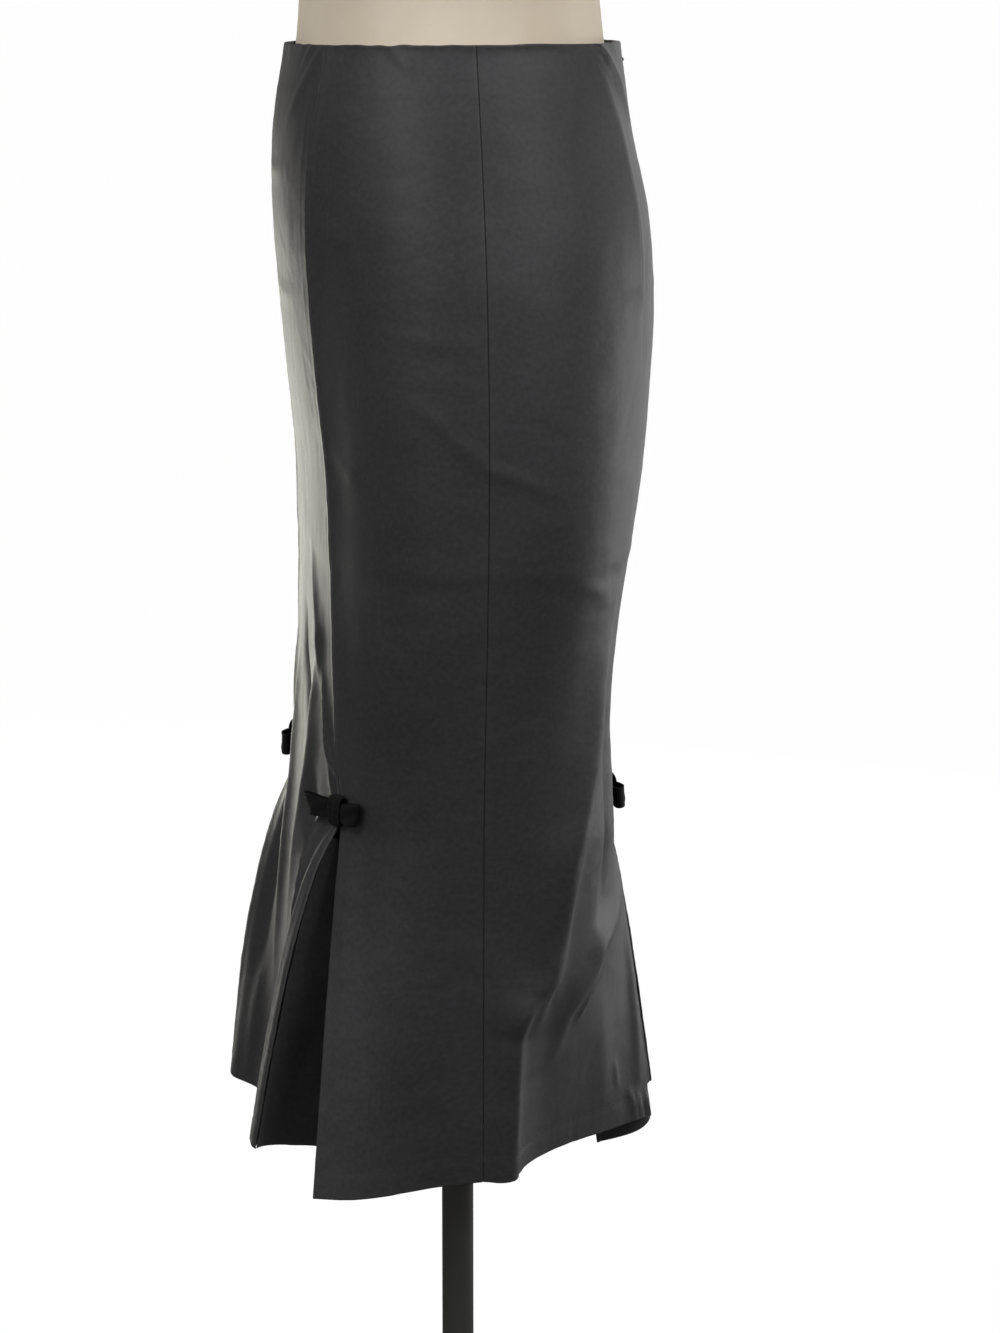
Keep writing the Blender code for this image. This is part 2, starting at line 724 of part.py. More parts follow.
def build_zip(panels, metal, tape, group, cutters):
    """The zip's chain, its slider at the top, and the pull that hangs from the slider."""
    add_mesh("zip_chain", zip_chain_mesh("zip_chain", panels), tape, group)
    frame = back_frame(SKIRT_TOP - SLIDER_BELOW_TOP)

    face = SEAM_GAP + SLIDER_THICK
    lug_middle = BARREL_HALF + SEAM_GAP + LUG_THICK / 2
    pin = Vector((0.0, face + PIN_OUT, 0.0))
    body = (SLIDER_WIDTH, SLIDER_THICK, SLIDER_LENGTH)
    slider = block("zip_slider", body, Vector((0.0, SEAM_GAP + SLIDER_THICK / 2, 0.0)), metal, group)
    lug_size = (LUG_THICK, PIN_OUT + PIN_RADIUS * 2 + LUG_SUNK, LUG_LENGTH)
    lug_out = face - LUG_SUNK + lug_size[1] / 2
    lugs = [
        block("lug", lug_size, Vector((side * lug_middle, lug_out, 0.0)), metal, group)
        for side in (-1, 1)
    ]
    bar = rod("pin", PIN_RADIUS, 2 * lug_middle, pin, metal, group)
    unite(slider, [*lugs, bar])
    slider.data.transform(frame)

    pull = rod("zip_pull", BARREL_RADIUS, 2 * BARREL_HALF, Vector(), metal, group)
    plate = pull_plate(metal, group)
    bore = rod("barrel_bore", BARREL_BORE, 4 * BARREL_HALF, Vector(), metal, cutters)
    bore.hide_render = True
    bore.display_type = "WIRE"
    unite(pull, [plate])
    cut = pull.modifiers.new("bore", "BOOLEAN")
    cut.operation = "DIFFERENCE"
    cut.object = bore
    pull.matrix_world = frame @ Matrix.Translation(pin)
    bore.matrix_world = pull.matrix_world


def pull_plate(finish, group):
    """The pull's flat drop, a round-ended plate that widens downwards from the barrel."""
    steps = 10
    centre = -PULL_LENGTH + PULL_HALF_WIDTH
    inside_barrel = -(BARREL_RADIUS + BARREL_BORE) / 2
    outline = [(PULL_NECK, inside_barrel)]
    outline += [
        (PULL_HALF_WIDTH * math.cos(a), centre - PULL_HALF_WIDTH * math.sin(a))
        for a in (math.pi * step / steps for step in range(steps + 1))
    ]
    outline.append((-PULL_NECK, inside_barrel))
    shape = bmesh.new()
    face = shape.faces.new([shape.verts.new((x, -PULL_THICK / 2, z)) for x, z in outline])
    grown = bmesh.ops.extrude_face_region(shape, geom=[face])
    moved = [item for item in grown["geom"] if isinstance(item, bmesh.types.BMVert)]
    bmesh.ops.translate(shape, verts=moved, vec=(0.0, PULL_THICK, 0.0))
    bmesh.ops.recalc_face_normals(shape, faces=shape.faces)
    return add_mesh("plate", from_bmesh("plate", shape), finish, group)


# ---------------------------------------------------------------- form and stand


def torso_mesh(name):
    """The whole form from its flat underside to its neck, closed at both ends."""
    foot = FORM_UNDERSIDE + FORM_EDGE
    waist = SKIRT_TOP - FORM_EDGE
    hip_heights = [along(foot, waist, i / FORM_HIP_LEVELS) for i in range(FORM_HIP_LEVELS + 1)]
    bust_heights = sorted([row.z for row in BUST_SECTIONS] + [BUST_LEVEL])
    shape = bmesh.new()

    def ring(z, sections, inset=None, scale=1.0, drop=0.0):
        turn = 2 * math.pi / FORM_COLUMNS
        points = [section_point(z, turn * i, sections, inset) for i in range(FORM_COLUMNS)]
        return [shape.verts.new((p.x * scale, p.y * scale, p.z - drop)) for p in points]

    rings = [ring(foot, SKIRT_SECTIONS, STAND_OFFS, FORM_EDGE_SCALE, FORM_EDGE)]
    rings += [ring(z, SKIRT_SECTIONS, STAND_OFFS) for z in hip_heights]
    rings += [ring(z, BUST_SECTIONS) for z in bust_heights]
    for lower, upper in zip(rings, rings[1:]):
        for i in range(FORM_COLUMNS):
            j = (i + 1) % FORM_COLUMNS
            shape.faces.new((lower[i], lower[j], upper[j], upper[i]))
    shape.faces.new(list(reversed(rings[0])))
    shape.faces.new(rings[-1])
    return from_bmesh(name, shape)


def turned(name, outline, finish, group, steps=40):
    """A solid turned about Z from an outline of (radius, height), top to bottom."""
    mesh = bpy.data.meshes.new(name)
    edges = [(i, i + 1) for i in range(len(outline) - 1)]
    mesh.from_pydata([(r, 0.0, z) for r, z in outline], edges, [])
    made = add_mesh(name, mesh, finish, group)
    screw = made.modifiers.new("turn", "SCREW")
    screw.steps = steps
    screw.render_steps = steps
    screw.use_merge_vertices = True
    screw.merge_threshold = 0.00001
    return made


def build_stand(torso_cloth, black_metal, group):
    """The form, its neck cap, and the flange, pole and base that it stands on."""
    add_mesh("form_torso", torso_mesh("form_torso"), torso_cloth, group)
    neck = BUST_SECTIONS[-1]
    neck_middle = (neck.front + neck.back) / 2
    rim = NECK_CAP_RADIUS
    cap = turned(
        "form_neck_cap",
        [(0.0, 0.020), (0.020, 0.018), (0.038, 0.012), (rim, 0.004), (rim, 0.0), (0.0, 0.0)],
        black_metal, group, 32,
    )
    cap.location = (0.0, neck_middle, neck.z + SEAM_GAP)

    flange_top = FORM_UNDERSIDE - SEAM_GAP
    flange_foot = flange_top - FLANGE_THICK
    turned(
        "pole_flange",
        [(0.0, flange_top), (FLANGE_RADIUS, flange_top), (FLANGE_RADIUS, flange_foot), (0.0, flange_foot)],
        black_metal, group, 32,
    )
    pole_top = flange_foot - SEAM_GAP
    pole_foot = BASE_THICK + SEAM_GAP
    turned(
        "pole",
        [(0.0, pole_top), (POLE_RADIUS, pole_top), (POLE_RADIUS, pole_foot), (0.0, pole_foot)],
        black_metal, group, 32,
    )
    bore = POLE_RADIUS + SEAM_GAP
    edge = 0.0015
    turned(
        "base_disc",
        [
            (0.0, BASE_THICK), (bore, BASE_THICK), (bore, HUB_TOP), (HUB_RADIUS, HUB_TOP),
            (HUB_RADIUS + 0.002, HUB_TOP - 0.004), (HUB_RADIUS + 0.005, BASE_THICK + 0.012),
            (HUB_FOOT_RADIUS, BASE_THICK), (BASE_RADIUS - edge, BASE_THICK),
            (BASE_RADIUS, BASE_THICK - edge), (BASE_RADIUS, edge), (BASE_RADIUS - edge, 0.0), (0.0, 0.0),
        ],
        black_metal, group,
    )


# ---------------------------------------------------------------- the whole object


def main():
    """Build every piece in its place."""
    clear_scene()
    group = new_collection("pencil_skirt_on_form")
    cutters = new_collection("cutters")
    twill = material("charcoal_stretch_cotton", (0.042, 0.043, 0.046), 0.75)
    ribbon = material("black_grosgrain", (0.006, 0.006, 0.006), 0.60)
    jersey = material("cream_jersey", (0.640, 0.560, 0.440), 0.85)
    black_metal = material("black_painted_steel", (0.020, 0.021, 0.018), 0.35)
    metal = material("dark_zip_metal", (0.030, 0.030, 0.032), 0.30, 1.0)
    tape = material("dark_zip_coil", (0.012, 0.012, 0.013), 0.55)

    panels = {}
    for panel in skirt_panels():
        panels[panel.name] = panel_rows(panel)
        item = add_mesh(panel.name, sheet_mesh(panel.name, panels[panel.name]), twill, group)
        thicken(item, CLOTH)
    for inlay in INLAYS:
        item = add_mesh(inlay.name, sheet_mesh(inlay.name, inlay_rows(inlay, panels)), twill, group)
        thicken(item, CLOTH)

    for bow in BOWS:
        front_seam = front_seam_angle(bow.z)
        seams = {"front_left": front_seam, "front_right": -math.pi - front_seam, "back": math.pi / 2}
        build_bow(bow, seams[bow.name], ribbon, group)
    build_zip(panels, metal, tape, group, cutters)
    build_stand(jersey, black_metal, group)
    bpy.context.view_layer.update()


main()
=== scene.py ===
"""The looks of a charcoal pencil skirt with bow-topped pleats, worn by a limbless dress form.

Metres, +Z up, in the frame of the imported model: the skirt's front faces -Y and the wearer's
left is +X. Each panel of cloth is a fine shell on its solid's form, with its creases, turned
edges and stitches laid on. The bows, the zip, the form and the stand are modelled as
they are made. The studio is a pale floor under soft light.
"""

import logging
import math
from dataclasses import dataclass, field
from enum import Enum
from typing import Callable, Optional, Sequence

import bpy
import numpy as np
from bpy.types import Material, Node, NodeSocket, NodeTree, Object
from mathutils import Matrix, Vector


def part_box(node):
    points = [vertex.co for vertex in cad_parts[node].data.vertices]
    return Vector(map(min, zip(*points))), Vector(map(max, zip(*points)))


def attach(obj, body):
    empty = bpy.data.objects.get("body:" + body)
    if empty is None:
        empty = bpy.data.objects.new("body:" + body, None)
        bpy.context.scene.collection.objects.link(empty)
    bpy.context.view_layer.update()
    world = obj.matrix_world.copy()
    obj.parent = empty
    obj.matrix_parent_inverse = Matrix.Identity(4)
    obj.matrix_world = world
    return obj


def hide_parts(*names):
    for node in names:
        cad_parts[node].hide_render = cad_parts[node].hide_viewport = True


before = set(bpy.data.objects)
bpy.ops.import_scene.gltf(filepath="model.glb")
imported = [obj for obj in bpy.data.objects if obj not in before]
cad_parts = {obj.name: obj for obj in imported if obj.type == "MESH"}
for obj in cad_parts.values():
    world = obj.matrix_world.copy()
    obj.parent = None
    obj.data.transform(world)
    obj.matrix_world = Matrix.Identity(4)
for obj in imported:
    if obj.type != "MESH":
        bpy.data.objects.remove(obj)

logging.basicConfig(level=logging.INFO, format="%(message)s")
log = logging.getLogger("pencil_skirt")

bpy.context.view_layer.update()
MM = 0.001

SKIRT_BODY = "skirt_on_form"
PULL_BODY = "zip_pull_tab"

SAME_PLACE = 1e-6  # points closer than this are one point
TINY = 1e-12  # keeps a length from being nothing
QUARTER = math.pi / 2
WAVE_BAND = 2 * math.pi / 20  # how wide a wave texture's band is at a scale of 1


# ---- helpers for modelling


def deselect_all() -> None:
    """Leave edit mode and select nothing."""
    if bpy.context.object and bpy.context.object.mode != "OBJECT":
        bpy.ops.object.mode_set(mode="OBJECT")
    bpy.ops.object.select_all(action="DESELECT")


def make_active(item: Object) -> None:
    """Select one object alone and make it the active one.

    Args:
        item: The object.
    """
    deselect_all()
    item.select_set(True)
    bpy.context.view_layer.objects.active = item


def named(name: str) -> Object:
    """Give the active object its name, on the object and its mesh.

    Args:
        name: The name.

    Returns:
        The active object.
    """
    item = bpy.context.object
    item.name = name
    item.data.name = name
    return item


def edit_whole(item: Object) -> None:
    """Open an object for editing with all of its mesh selected.

    Args:
        item: The object.
    """
    make_active(item)
    bpy.ops.object.mode_set(mode="EDIT")
    bpy.ops.mesh.select_all(action="SELECT")


def add_modifier(item: Object, kind: str, **settings: object) -> None:
    """Add a modifier and apply it at once.

    Args:
        item: The object to change.
        kind: The modifier's type, such as SOLIDIFY.
        settings: Its settings by name.
    """
    make_active(item)
    modifier = item.modifiers.new(kind.lower(), kind)
    for name, value in settings.items():
        setattr(modifier, name, value)
    bpy.ops.object.modifier_apply(modifier=modifier.name)


def ease_edges(item: Object, width: float, segments: int, degrees: float) -> None:
    """Bevel the edges that are sharper than an angle.

    Args:
        item: The object.
        width: The bevel's width.
        segments: How many faces go round it.
        degrees: The angle.
    """
    limit = math.radians(degrees)
    add_modifier(item, "BEVEL", width=width, segments=segments, limit_method="ANGLE", angle_limit=limit)


def settle(item: Object) -> Object:
    """Put an object's place, turn and scale into its mesh, so that it sits at the origin.

    Args:
        item: The object.

    Returns:
        The same object.
    """
    make_active(item)
    bpy.ops.object.transform_apply(location=True, rotation=True, scale=True)
    return item


def smooth_shade(item: Object, degrees: float = 40.0) -> None:
    """Shade an object smooth, but for edges sharper than an angle."""
    make_active(item)
    bpy.ops.object.shade_smooth_by_angle(angle=math.radians(degrees))


def join(items: Sequence[Object], name: str) -> Object:
    """Join several objects into the first and name it.

    Args:
        items: The objects.
        name: What the joined one is called.

    Returns:
        The joined object.
    """
    deselect_all()
    for item in items:
        item.select_set(True)
    bpy.context.view_layer.objects.active = items[0]
    bpy.ops.object.join()
    return named(name)


def outward_normals(item: Object) -> None:
    """Merge an object's doubles and turn its faces outwards.

    Args:
        item: The object.
    """
    edit_whole(item)
    bpy.ops.mesh.remove_doubles(threshold=SAME_PLACE)
    bpy.ops.mesh.normals_make_consistent(inside=False)
    bpy.ops.object.mode_set(mode="OBJECT")


def stand_for(item: Object, node: str, body: str = SKIRT_BODY) -> Object:
    """Let a piece ride on a body and replace its solid.

    Args:
        item: The piece.
        node: The solid's name.
        body: The body that it moves with.

    Returns:
        The same piece.
    """
    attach(item, body)
    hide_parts(node)
    return item


def turned_piece(name: str, outline: Sequence[tuple[float, float]], sides: int = 96) -> Object:
    """Turn a closed solid about Z: a circle that is extruded and resized from foot to top.

    Args:
        name: The piece's name.
        outline: (radius, height) from the middle of the foot's rim up to the top's rim.
        sides: How many sides the circles have.

    Returns:
        The piece, closed at foot and top.
    """
    deselect_all()
    radius, height = outline[0]
    foot = (0.0, 0.0, height)
    bpy.ops.mesh.primitive_circle_add(vertices=sides, radius=radius, fill_type="NGON", location=foot)
    edit_whole(bpy.context.object)
    for next_radius, next_height in outline[1:]:
        move = (0.0, 0.0, next_height - height)
        bpy.ops.mesh.extrude_region_move(TRANSFORM_OT_translate={"value": move})
        scale = next_radius / radius
        bpy.ops.transform.resize(value=(scale, scale, 1.0), center_override=(0.0, 0.0, next_height))
        radius, height = next_radius, next_height
    bpy.ops.mesh.select_all(action="SELECT")
    bpy.ops.mesh.normals_make_consistent(inside=False)
    bpy.ops.object.mode_set(mode="OBJECT")
    piece = settle(named(name))
    smooth_shade(piece, 30.0)
    return piece


def many_copies(name: str, pattern: Object, places: Sequence[Matrix]) -> Object:
    """Turn a small pattern into one object that holds a copy of it at each place.

    Args:
        name: The object's name.
        pattern: The small piece, modelled once.
        places: Where each copy goes.

    Returns:
        The object with all copies in its mesh.
    """
    corners = np.array([tuple(v.co) + (1.0,) for v in pattern.data.vertices])
    points = np.concatenate([corners @ np.array(place).T[:, :3] for place in places])
    add_modifier(pattern, "ARRAY", count=len(places), use_relative_offset=False, use_constant_offset=True)
    made = named(name)
    made.data.vertices.foreach_set("co", points.ravel())
    made.data.update()
    bpy.ops.object.shade_smooth()
    return made


def surface_from_grid(
    name: str, places: np.ndarray, flat: np.ndarray, marks: Optional[np.ndarray] = None
) -> Object:
    """Shape a grid primitive into a sheet of cloth.

    Args:
        name: The sheet's name.
        places: Points by row, top row first, and by column, left to right seen from outside.
        flat: The same points' places on the flat cloth, in metres, for the weave.
        marks: How much paler each point is painted at a pressed edge, from 0 to 1: pressing wear and painted
            sheen.

    Returns:
        An open surface with its faces outwards.
    """
    rows, columns = places.shape[:2]
    deselect_all()
    bpy.ops.mesh.primitive_grid_add(
        x_subdivisions=columns - 1, y_subdivisions=rows - 1, size=2.0, calc_uvs=True
    )
    item = named(name)
    mesh = item.data
    corners = np.zeros(len(mesh.vertices) * 3)
    mesh.vertices.foreach_get("co", corners)
    corners = corners.reshape(-1, 3)
    column = np.rint((corners[:, 0] + 1) / 2 * (columns - 1)).astype(int)
    row = np.rint((1 - corners[:, 1]) / 2 * (rows - 1)).astype(int)
    mesh.vertices.foreach_set("co", places[row, column].ravel())
    loops = np.zeros(len(mesh.loops), dtype=int)
    mesh.loops.foreach_get("vertex_index", loops)
    mesh.uv_layers.active.data.foreach_set("uv", flat[row, column][loops].ravel())
    # the marks paint pressed edges paler: pressing wear and painted sheen
    if marks is not None:
        layer = mesh.attributes.new("pressed_wear_and_sheen", "FLOAT", "POINT")
        layer.data.foreach_set("value", marks[row, column].ravel())
    mesh.update()
    return item


# ---- helpers for materials


def linear(colour: str) -> tuple[float, float, float, float]:
    """Turn an sRGB colour into a linear one.

    Args:
        colour: Its hex value, such as #403f41.

    Returns:
        Linear red, green, blue and alpha.
    """
    channels = [int(colour[i:i + 2], 16) / 255 for i in (1, 3, 5)]
    turned = [c / 12.92 if c <= 0.04045 else ((c + 0.055) / 1.055) ** 2.4 for c in channels]
    return (*turned, 1.0)


def add_node(
    tree: NodeTree,
    kind: str,
    settings: Optional[dict[str, object]] = None,
    links: Optional[dict[str, NodeSocket]] = None,
) -> Node:
    """Add a node to a tree.

    Args:
        tree: The node tree.
        kind: The node's type name.
        settings: Values for its properties or, by name or number, for its inputs.
        links: Output sockets to join to its inputs, by name or number.

    Returns:
        The node.
    """
    node = tree.nodes.new(kind)
    for name, value in (settings or {}).items():
        if isinstance(name, int) or name in node.inputs:
            node.inputs[name].default_value = value
        else:
            setattr(node, name, value)
    for name, socket in (links or {}).items():
        tree.links.new(socket, node.inputs[name])
    return node


@dataclass(frozen=True)
class Finish:
    """A material's name and its Principled shader's own values."""

    name: str
    slot: str
    roughness: float
    metallic: float = 0.0
    ior: float = 1.5
    sheen: float = 0.0

    def start(self) -> tuple[NodeTree, Node, Material]:
        """Make the material with its shader's plain values set.

        Returns:
            The node tree, the shader and the material.
        """
        made = bpy.data.materials.new(self.name)
        made.use_nodes = True
        tree = made.node_tree
        shader = tree.nodes["Principled BSDF"]
        shader.inputs["Roughness"].default_value = self.roughness
        shader.inputs["Metallic"].default_value = self.metallic
        shader.inputs["IOR"].default_value = self.ior
        shader.inputs["Sheen Weight"].default_value = self.sheen
        return tree, shader, made

    def tinted(
        self, tree: NodeTree, by: NodeSocket,
        low: tuple[float, str], high: tuple[float, str],
    ) -> NodeSocket:
        """Let a pattern choose the colour between a darker and a lighter one.

        Args:
            tree: The material's nodes.
            by: The pattern.
            low: Up to which level of the pattern the first colour reaches, and that colour.
            high: From which level the second colour reaches, and that colour.

        Returns:
            The colour, which is also the shader's.
        """
        ramp = add_node(tree, "ShaderNodeValToRGB", links={"Fac": by})
        for element, (position, colour) in zip(ramp.color_ramp.elements, (low, high)):
            element.position = position
            element.color = linear(colour)
        tree.links.new(ramp.outputs["Color"], tree.nodes["Principled BSDF"].inputs["Base Color"])
        return ramp.outputs["Color"]

    def raised(
        self, tree: NodeTree, by: NodeSocket, strength: float, deep_mm: float
    ) -> None:
        """Let a pattern raise the surface.

        Args:
            tree: The material's nodes.
            by: The pattern.
            strength: How much of it shows.
            deep_mm: How deep it is.
        """
        settings = {"Strength": strength, "Distance": deep_mm * MM}
        bump = add_node(tree, "ShaderNodeBump", settings, {"Height": by})
        tree.links.new(bump.outputs[0], tree.nodes["Principled BSDF"].inputs["Normal"])

    def build(self) -> Material:
        """Make the material, as each kind of finish says."""
        raise NotImplementedError


def grey(level: float) -> tuple[float, float, float, float]:
    """A linear grey."""
    return (level, level, level, 1.0)


@dataclass(frozen=True)
class StretchCotton(Finish):
    """Stretch cotton satin: a dense smooth face whose floats catch light on every fold."""

    base: str = "#403f41"
    deep: str = "#313132"
    # paler colour painted at pressed edges: partly pressing wear, partly painted sheen
    worn_and_sheen: str = "#4a4a4a"
    worn_and_sheen_share: float = 0.15
    float_angle: float = 63.0
    thread_mm: float = 0.55
    slub_mm: float = 3.2
    cloud_mm: float = 70.0

    def build(self) -> Material:
        """Make the cloth: clouded charcoal, fine diagonal floats, and pressed edges painted paler, for
        pressing wear and as a painted sheen.

        Returns:
            The material.
        """
        tree, shader, made = self.start()
        shader.inputs["Sheen Roughness"].default_value = 0.45
        where = add_node(tree, "ShaderNodeTexCoord").outputs
        flat, solid = where["UV"], where["Object"]
        slub = add_node(
            tree, "ShaderNodeTexNoise", {"Scale": 1 / (self.slub_mm * MM), "Detail": 3.0}, {"Vector": flat}
        ).outputs["Fac"]
        cloud = add_node(
            tree, "ShaderNodeTexNoise", {"Scale": 1 / (self.cloud_mm * MM), "Detail": 2.0}, {"Vector": solid}
        ).outputs["Fac"]
        both = add_node(tree, "ShaderNodeMath", {"operation": "ADD"}, {0: slub, 1: cloud})
        half = add_node(tree, "ShaderNodeMath", {"operation": "MULTIPLY", 1: 0.5}, {0: both.outputs[0]})
        tint = self.tinted(tree, half.outputs[0], (0.34, self.deep), (0.66, self.base))
        # pressed edges painted paler: pressing wear and painted sheen
        pressed_wear_and_sheen = add_node(tree, "ShaderNodeAttribute", {"attribute_name": "pressed_wear_and_sheen"}).outputs["Fac"]
        share = add_node(tree, "ShaderNodeMath", {"operation": "MULTIPLY", 1: self.worn_and_sheen_share}, {0: pressed_wear_and_sheen})
        edges = add_node(
            tree, "ShaderNodeMix", {"data_type": "RGBA", 7: linear(self.worn_and_sheen)}, {0: share.outputs[0], 6: tint}
        )
        tree.links.new(edges.outputs[2], shader.inputs["Base Color"])

        # the floats run up to the right, as on a satin
        turn = (0.0, 0.0, math.radians(self.float_angle))
        lay = add_node(tree, "ShaderNodeMapping", {"Rotation": turn}, {"Vector": flat})
        floats = add_node(
            tree, "ShaderNodeTexWave",
            {"Scale": WAVE_BAND / (self.thread_mm * MM), "Distortion": 1.2, "Detail": 1.0,
             "Detail Scale": 2.0},
            {"Vector": lay.outputs[0]},
        ).outputs["Fac"]
        fine = add_node(tree, "ShaderNodeBump", {"Strength": 0.55, "Distance": 0.06 * MM}, {"Height": floats})
        rough = add_node(
            tree, "ShaderNodeBump", {"Strength": 0.35, "Distance": 0.25 * MM},
            {"Height": slub, "Normal": fine.outputs[0]},
        )
        tree.links.new(rough.outputs[0], shader.inputs["Normal"])
        return made


@dataclass(frozen=True)
class Grosgrain(Finish):
    """Grosgrain ribbon: a dull black face ribbed from edge to edge."""

    base: str = "#0a0b0a"
    rib_colour: str = "#131413"
    rib_mm: float = 1.1

    def build(self) -> Material:
        """Make the ribbon, with ribs at even steps along its length.

        Returns:
            The material.
        """
        tree, _, made = self.start()
        flat = add_node(tree, "ShaderNodeTexCoord").outputs["UV"]
        scale = WAVE_BAND / (self.rib_mm * MM)
        ribs = add_node(tree, "ShaderNodeTexWave", {"Scale": scale, "Distortion": 0.3}, {"Vector": flat})
        self.tinted(tree, ribs.outputs["Fac"], (0.2, self.base), (0.9, self.rib_colour))
        self.raised(tree, ribs.outputs["Fac"], 0.8, 0.2)
        return made


@dataclass(frozen=True)
class Jersey(Finish):
    """Cotton jersey over padding: cream, matt, with fine upright wales."""

    base: str = "#f8ebd5"
    shade: str = "#efe0c8"
    wale_mm: float = 1.3
    cloud_mm: float = 60.0

    def build(self) -> Material:
        """Make the form's cover: upright wales and a soft clouding.

        Returns:
            The material.
        """
        tree, _, made = self.start()
        where = add_node(tree, "ShaderNodeTexCoord").outputs
        flat, solid = where["UV"], where["Object"]
        scale = 1 / (self.cloud_mm * MM)
        cloud = add_node(tree, "ShaderNodeTexNoise", {"Scale": scale, "Detail": 3.0}, {"Vector": solid})
        self.tinted(tree, cloud.outputs["Fac"], (0.35, self.shade), (0.65, self.base))
        scale = WAVE_BAND / (self.wale_mm * MM)
        wales = add_node(tree, "ShaderNodeTexWave", {"Scale": scale, "Distortion": 0.6}, {"Vector": flat})
        self.raised(tree, wales.outputs["Fac"], 0.4, 0.15)
        return made


@dataclass(frozen=True)
class PaintedSteel(Finish):
    """Powder coat on steel: near black, satin, with a faint orange peel."""

    base: str = "#41413b"
    rubbed: str = "#4c4c46"
    peel_mm: float = 1.6
    rubbed_patch: float = 1 / 14

    def build(self) -> Material:
        """Make the paint: a low grain in its colour and its surface.

        Returns:
            The material.
        """
        tree, shader, made = self.start()
        shader.inputs["Coat Weight"].default_value = 0.15
        solid = add_node(tree, "ShaderNodeTexCoord").outputs["Object"]
        scale = 1 / (self.peel_mm * MM)
        peel = add_node(tree, "ShaderNodeTexNoise", {"Scale": scale, "Detail": 2.0}, {"Vector": solid})
        scale = 1 / self.rubbed_patch
        broad = add_node(tree, "ShaderNodeTexNoise", {"Scale": scale, "Detail": 4.0}, {"Vector": solid})
        self.tinted(tree, broad.outputs["Fac"], (0.4, self.base), (0.75, self.rubbed))
        self.raised(tree, peel.outputs["Fac"], 0.25, 0.2)
        return made


@dataclass(frozen=True)
class Gunmetal(Finish):
    """Die-cast zinc plated dark: a soft metal gleam with fine tumbling marks."""

    base: str = "#4c4c50"
    bright: str = "#6a6a6e"
    mark_mm: float = 1 / 0.9

    def build(self) -> Material:
        """Make the zip's metal, brighter where it has been handled.

        Returns:
            The material.
        """
        tree, _, made = self.start()
        solid = add_node(tree, "ShaderNodeTexCoord").outputs["Object"]
        scale = 1 / (self.mark_mm * MM)
        marks = add_node(tree, "ShaderNodeTexNoise", {"Scale": scale, "Detail": 3.0}, {"Vector": solid})
        self.tinted(tree, marks.outputs["Fac"], (0.35, self.base), (0.7, self.bright))
        self.raised(tree, marks.outputs["Fac"], 0.2, 0.05)
        return made


@dataclass(frozen=True)
class NylonThread(Finish):
    """Dyed nylon or polyester: a coil or a sewing thread with a dull gloss."""

    base: str = "#1d1e1f"
    ply: str = "#2a2b2c"
    twist_mm: float = 1 / 1.5

    def build(self) -> Material:
        """Make the thread, with a fine twist in its colour.

        Returns:
            The material.
        """
        tree, _, made = self.start()
        solid = add_node(tree, "ShaderNodeTexCoord").outputs["Object"]
        scale = 1 / (self.twist_mm * MM)
        twist = add_node(tree, "ShaderNodeTexNoise", {"Scale": scale, "Detail": 2.0}, {"Vector": solid})
        self.tinted(tree, twist.outputs["Fac"], (0.3, self.base), (0.7, self.ply))
        return made


COTTON = StretchCotton("stretch_cotton_satin", "skirt_cloth", roughness=0.50, ior=1.42, sheen=0.10)
RIBBON = Grosgrain("black_grosgrain", "bow_ribbon", roughness=0.75, ior=1.35, sheen=0.0)
JERSEY = Jersey("cream_cotton_jersey", "form_jersey", roughness=0.9, sheen=0.15)
STEEL = PaintedSteel("black_powder_coat", "stand_metal", roughness=0.42)
ZIP_METAL = Gunmetal("dark_plated_zinc", "zip_metal", roughness=0.32, metallic=1.0)
COIL = NylonThread("black_nylon_coil", "zip_coil", roughness=0.45)
THREAD = NylonThread("charcoal_sewing_thread", "skirt_cloth", roughness=0.6, base="#303132", ply="#3e3f40")


class Wardrobe:
    """The materials, each made once when it is first asked for."""

    def __init__(self) -> None:
        """Start with nothing made."""
        self.made: dict[str, Material] = {}

    def dress(self, item: Object, finish: Finish) -> Object:
        """Give a piece its one material.

        Args:
            item: The piece.
            finish: What it is made of.

        Returns:
            The same piece.
        """
        if finish.name not in self.made:
            self.made[finish.name] = finish.build()
        item.data.materials.clear()
        item.data.materials.append(self.made[finish.name])
        return item


# ---- the skirt's form


@dataclass(frozen=True)
class Section:
    """A level section: half its width, its reach to front and back, and how square it is."""

    z: float
    half_width: float
    front: float
    back: float
    fullness: float


@dataclass(frozen=True)
class StandOff:
    """How far the form lies inside the skirt's outer surface at a height."""

    z: float
    side: float
    front: float
    back: float


@dataclass(frozen=True)
class SeamPlace:
    """How far from the middle the front seams lie at a height."""

    z: float
    across: float


@dataclass(frozen=True)
class HemPoint:
    """A point of a hem from above, its lift, and how soon below the bow it gets there."""

    x: float
    y: float
    lift: float
    soon: float


SKIRT_SECTIONS = (
    Section(0.520, 0.1460, -0.1015, 0.0940, 2.35),
    Section(0.560, 0.1480, -0.0990, 0.0912, 2.40),
    Section(0.600, 0.1520, -0.0966, 0.0892, 2.45),
    Section(0.650, 0.1580, -0.0940, 0.0924, 2.50),
    Section(0.700, 0.1630, -0.0929, 0.0999, 2.50),
    Section(0.750, 0.1660, -0.0943, 0.1078, 2.42),
    Section(0.800, 0.1660, -0.0995, 0.1132, 2.32),
    Section(0.850, 0.1620, -0.1045, 0.1160, 2.27),
    Section(0.900, 0.1535, -0.1084, 0.1131, 2.25),
    Section(0.950, 0.1405, -0.1080, 0.1030, 2.25),
    Section(1.000, 0.1250, -0.1005, 0.0967, 2.25),
)

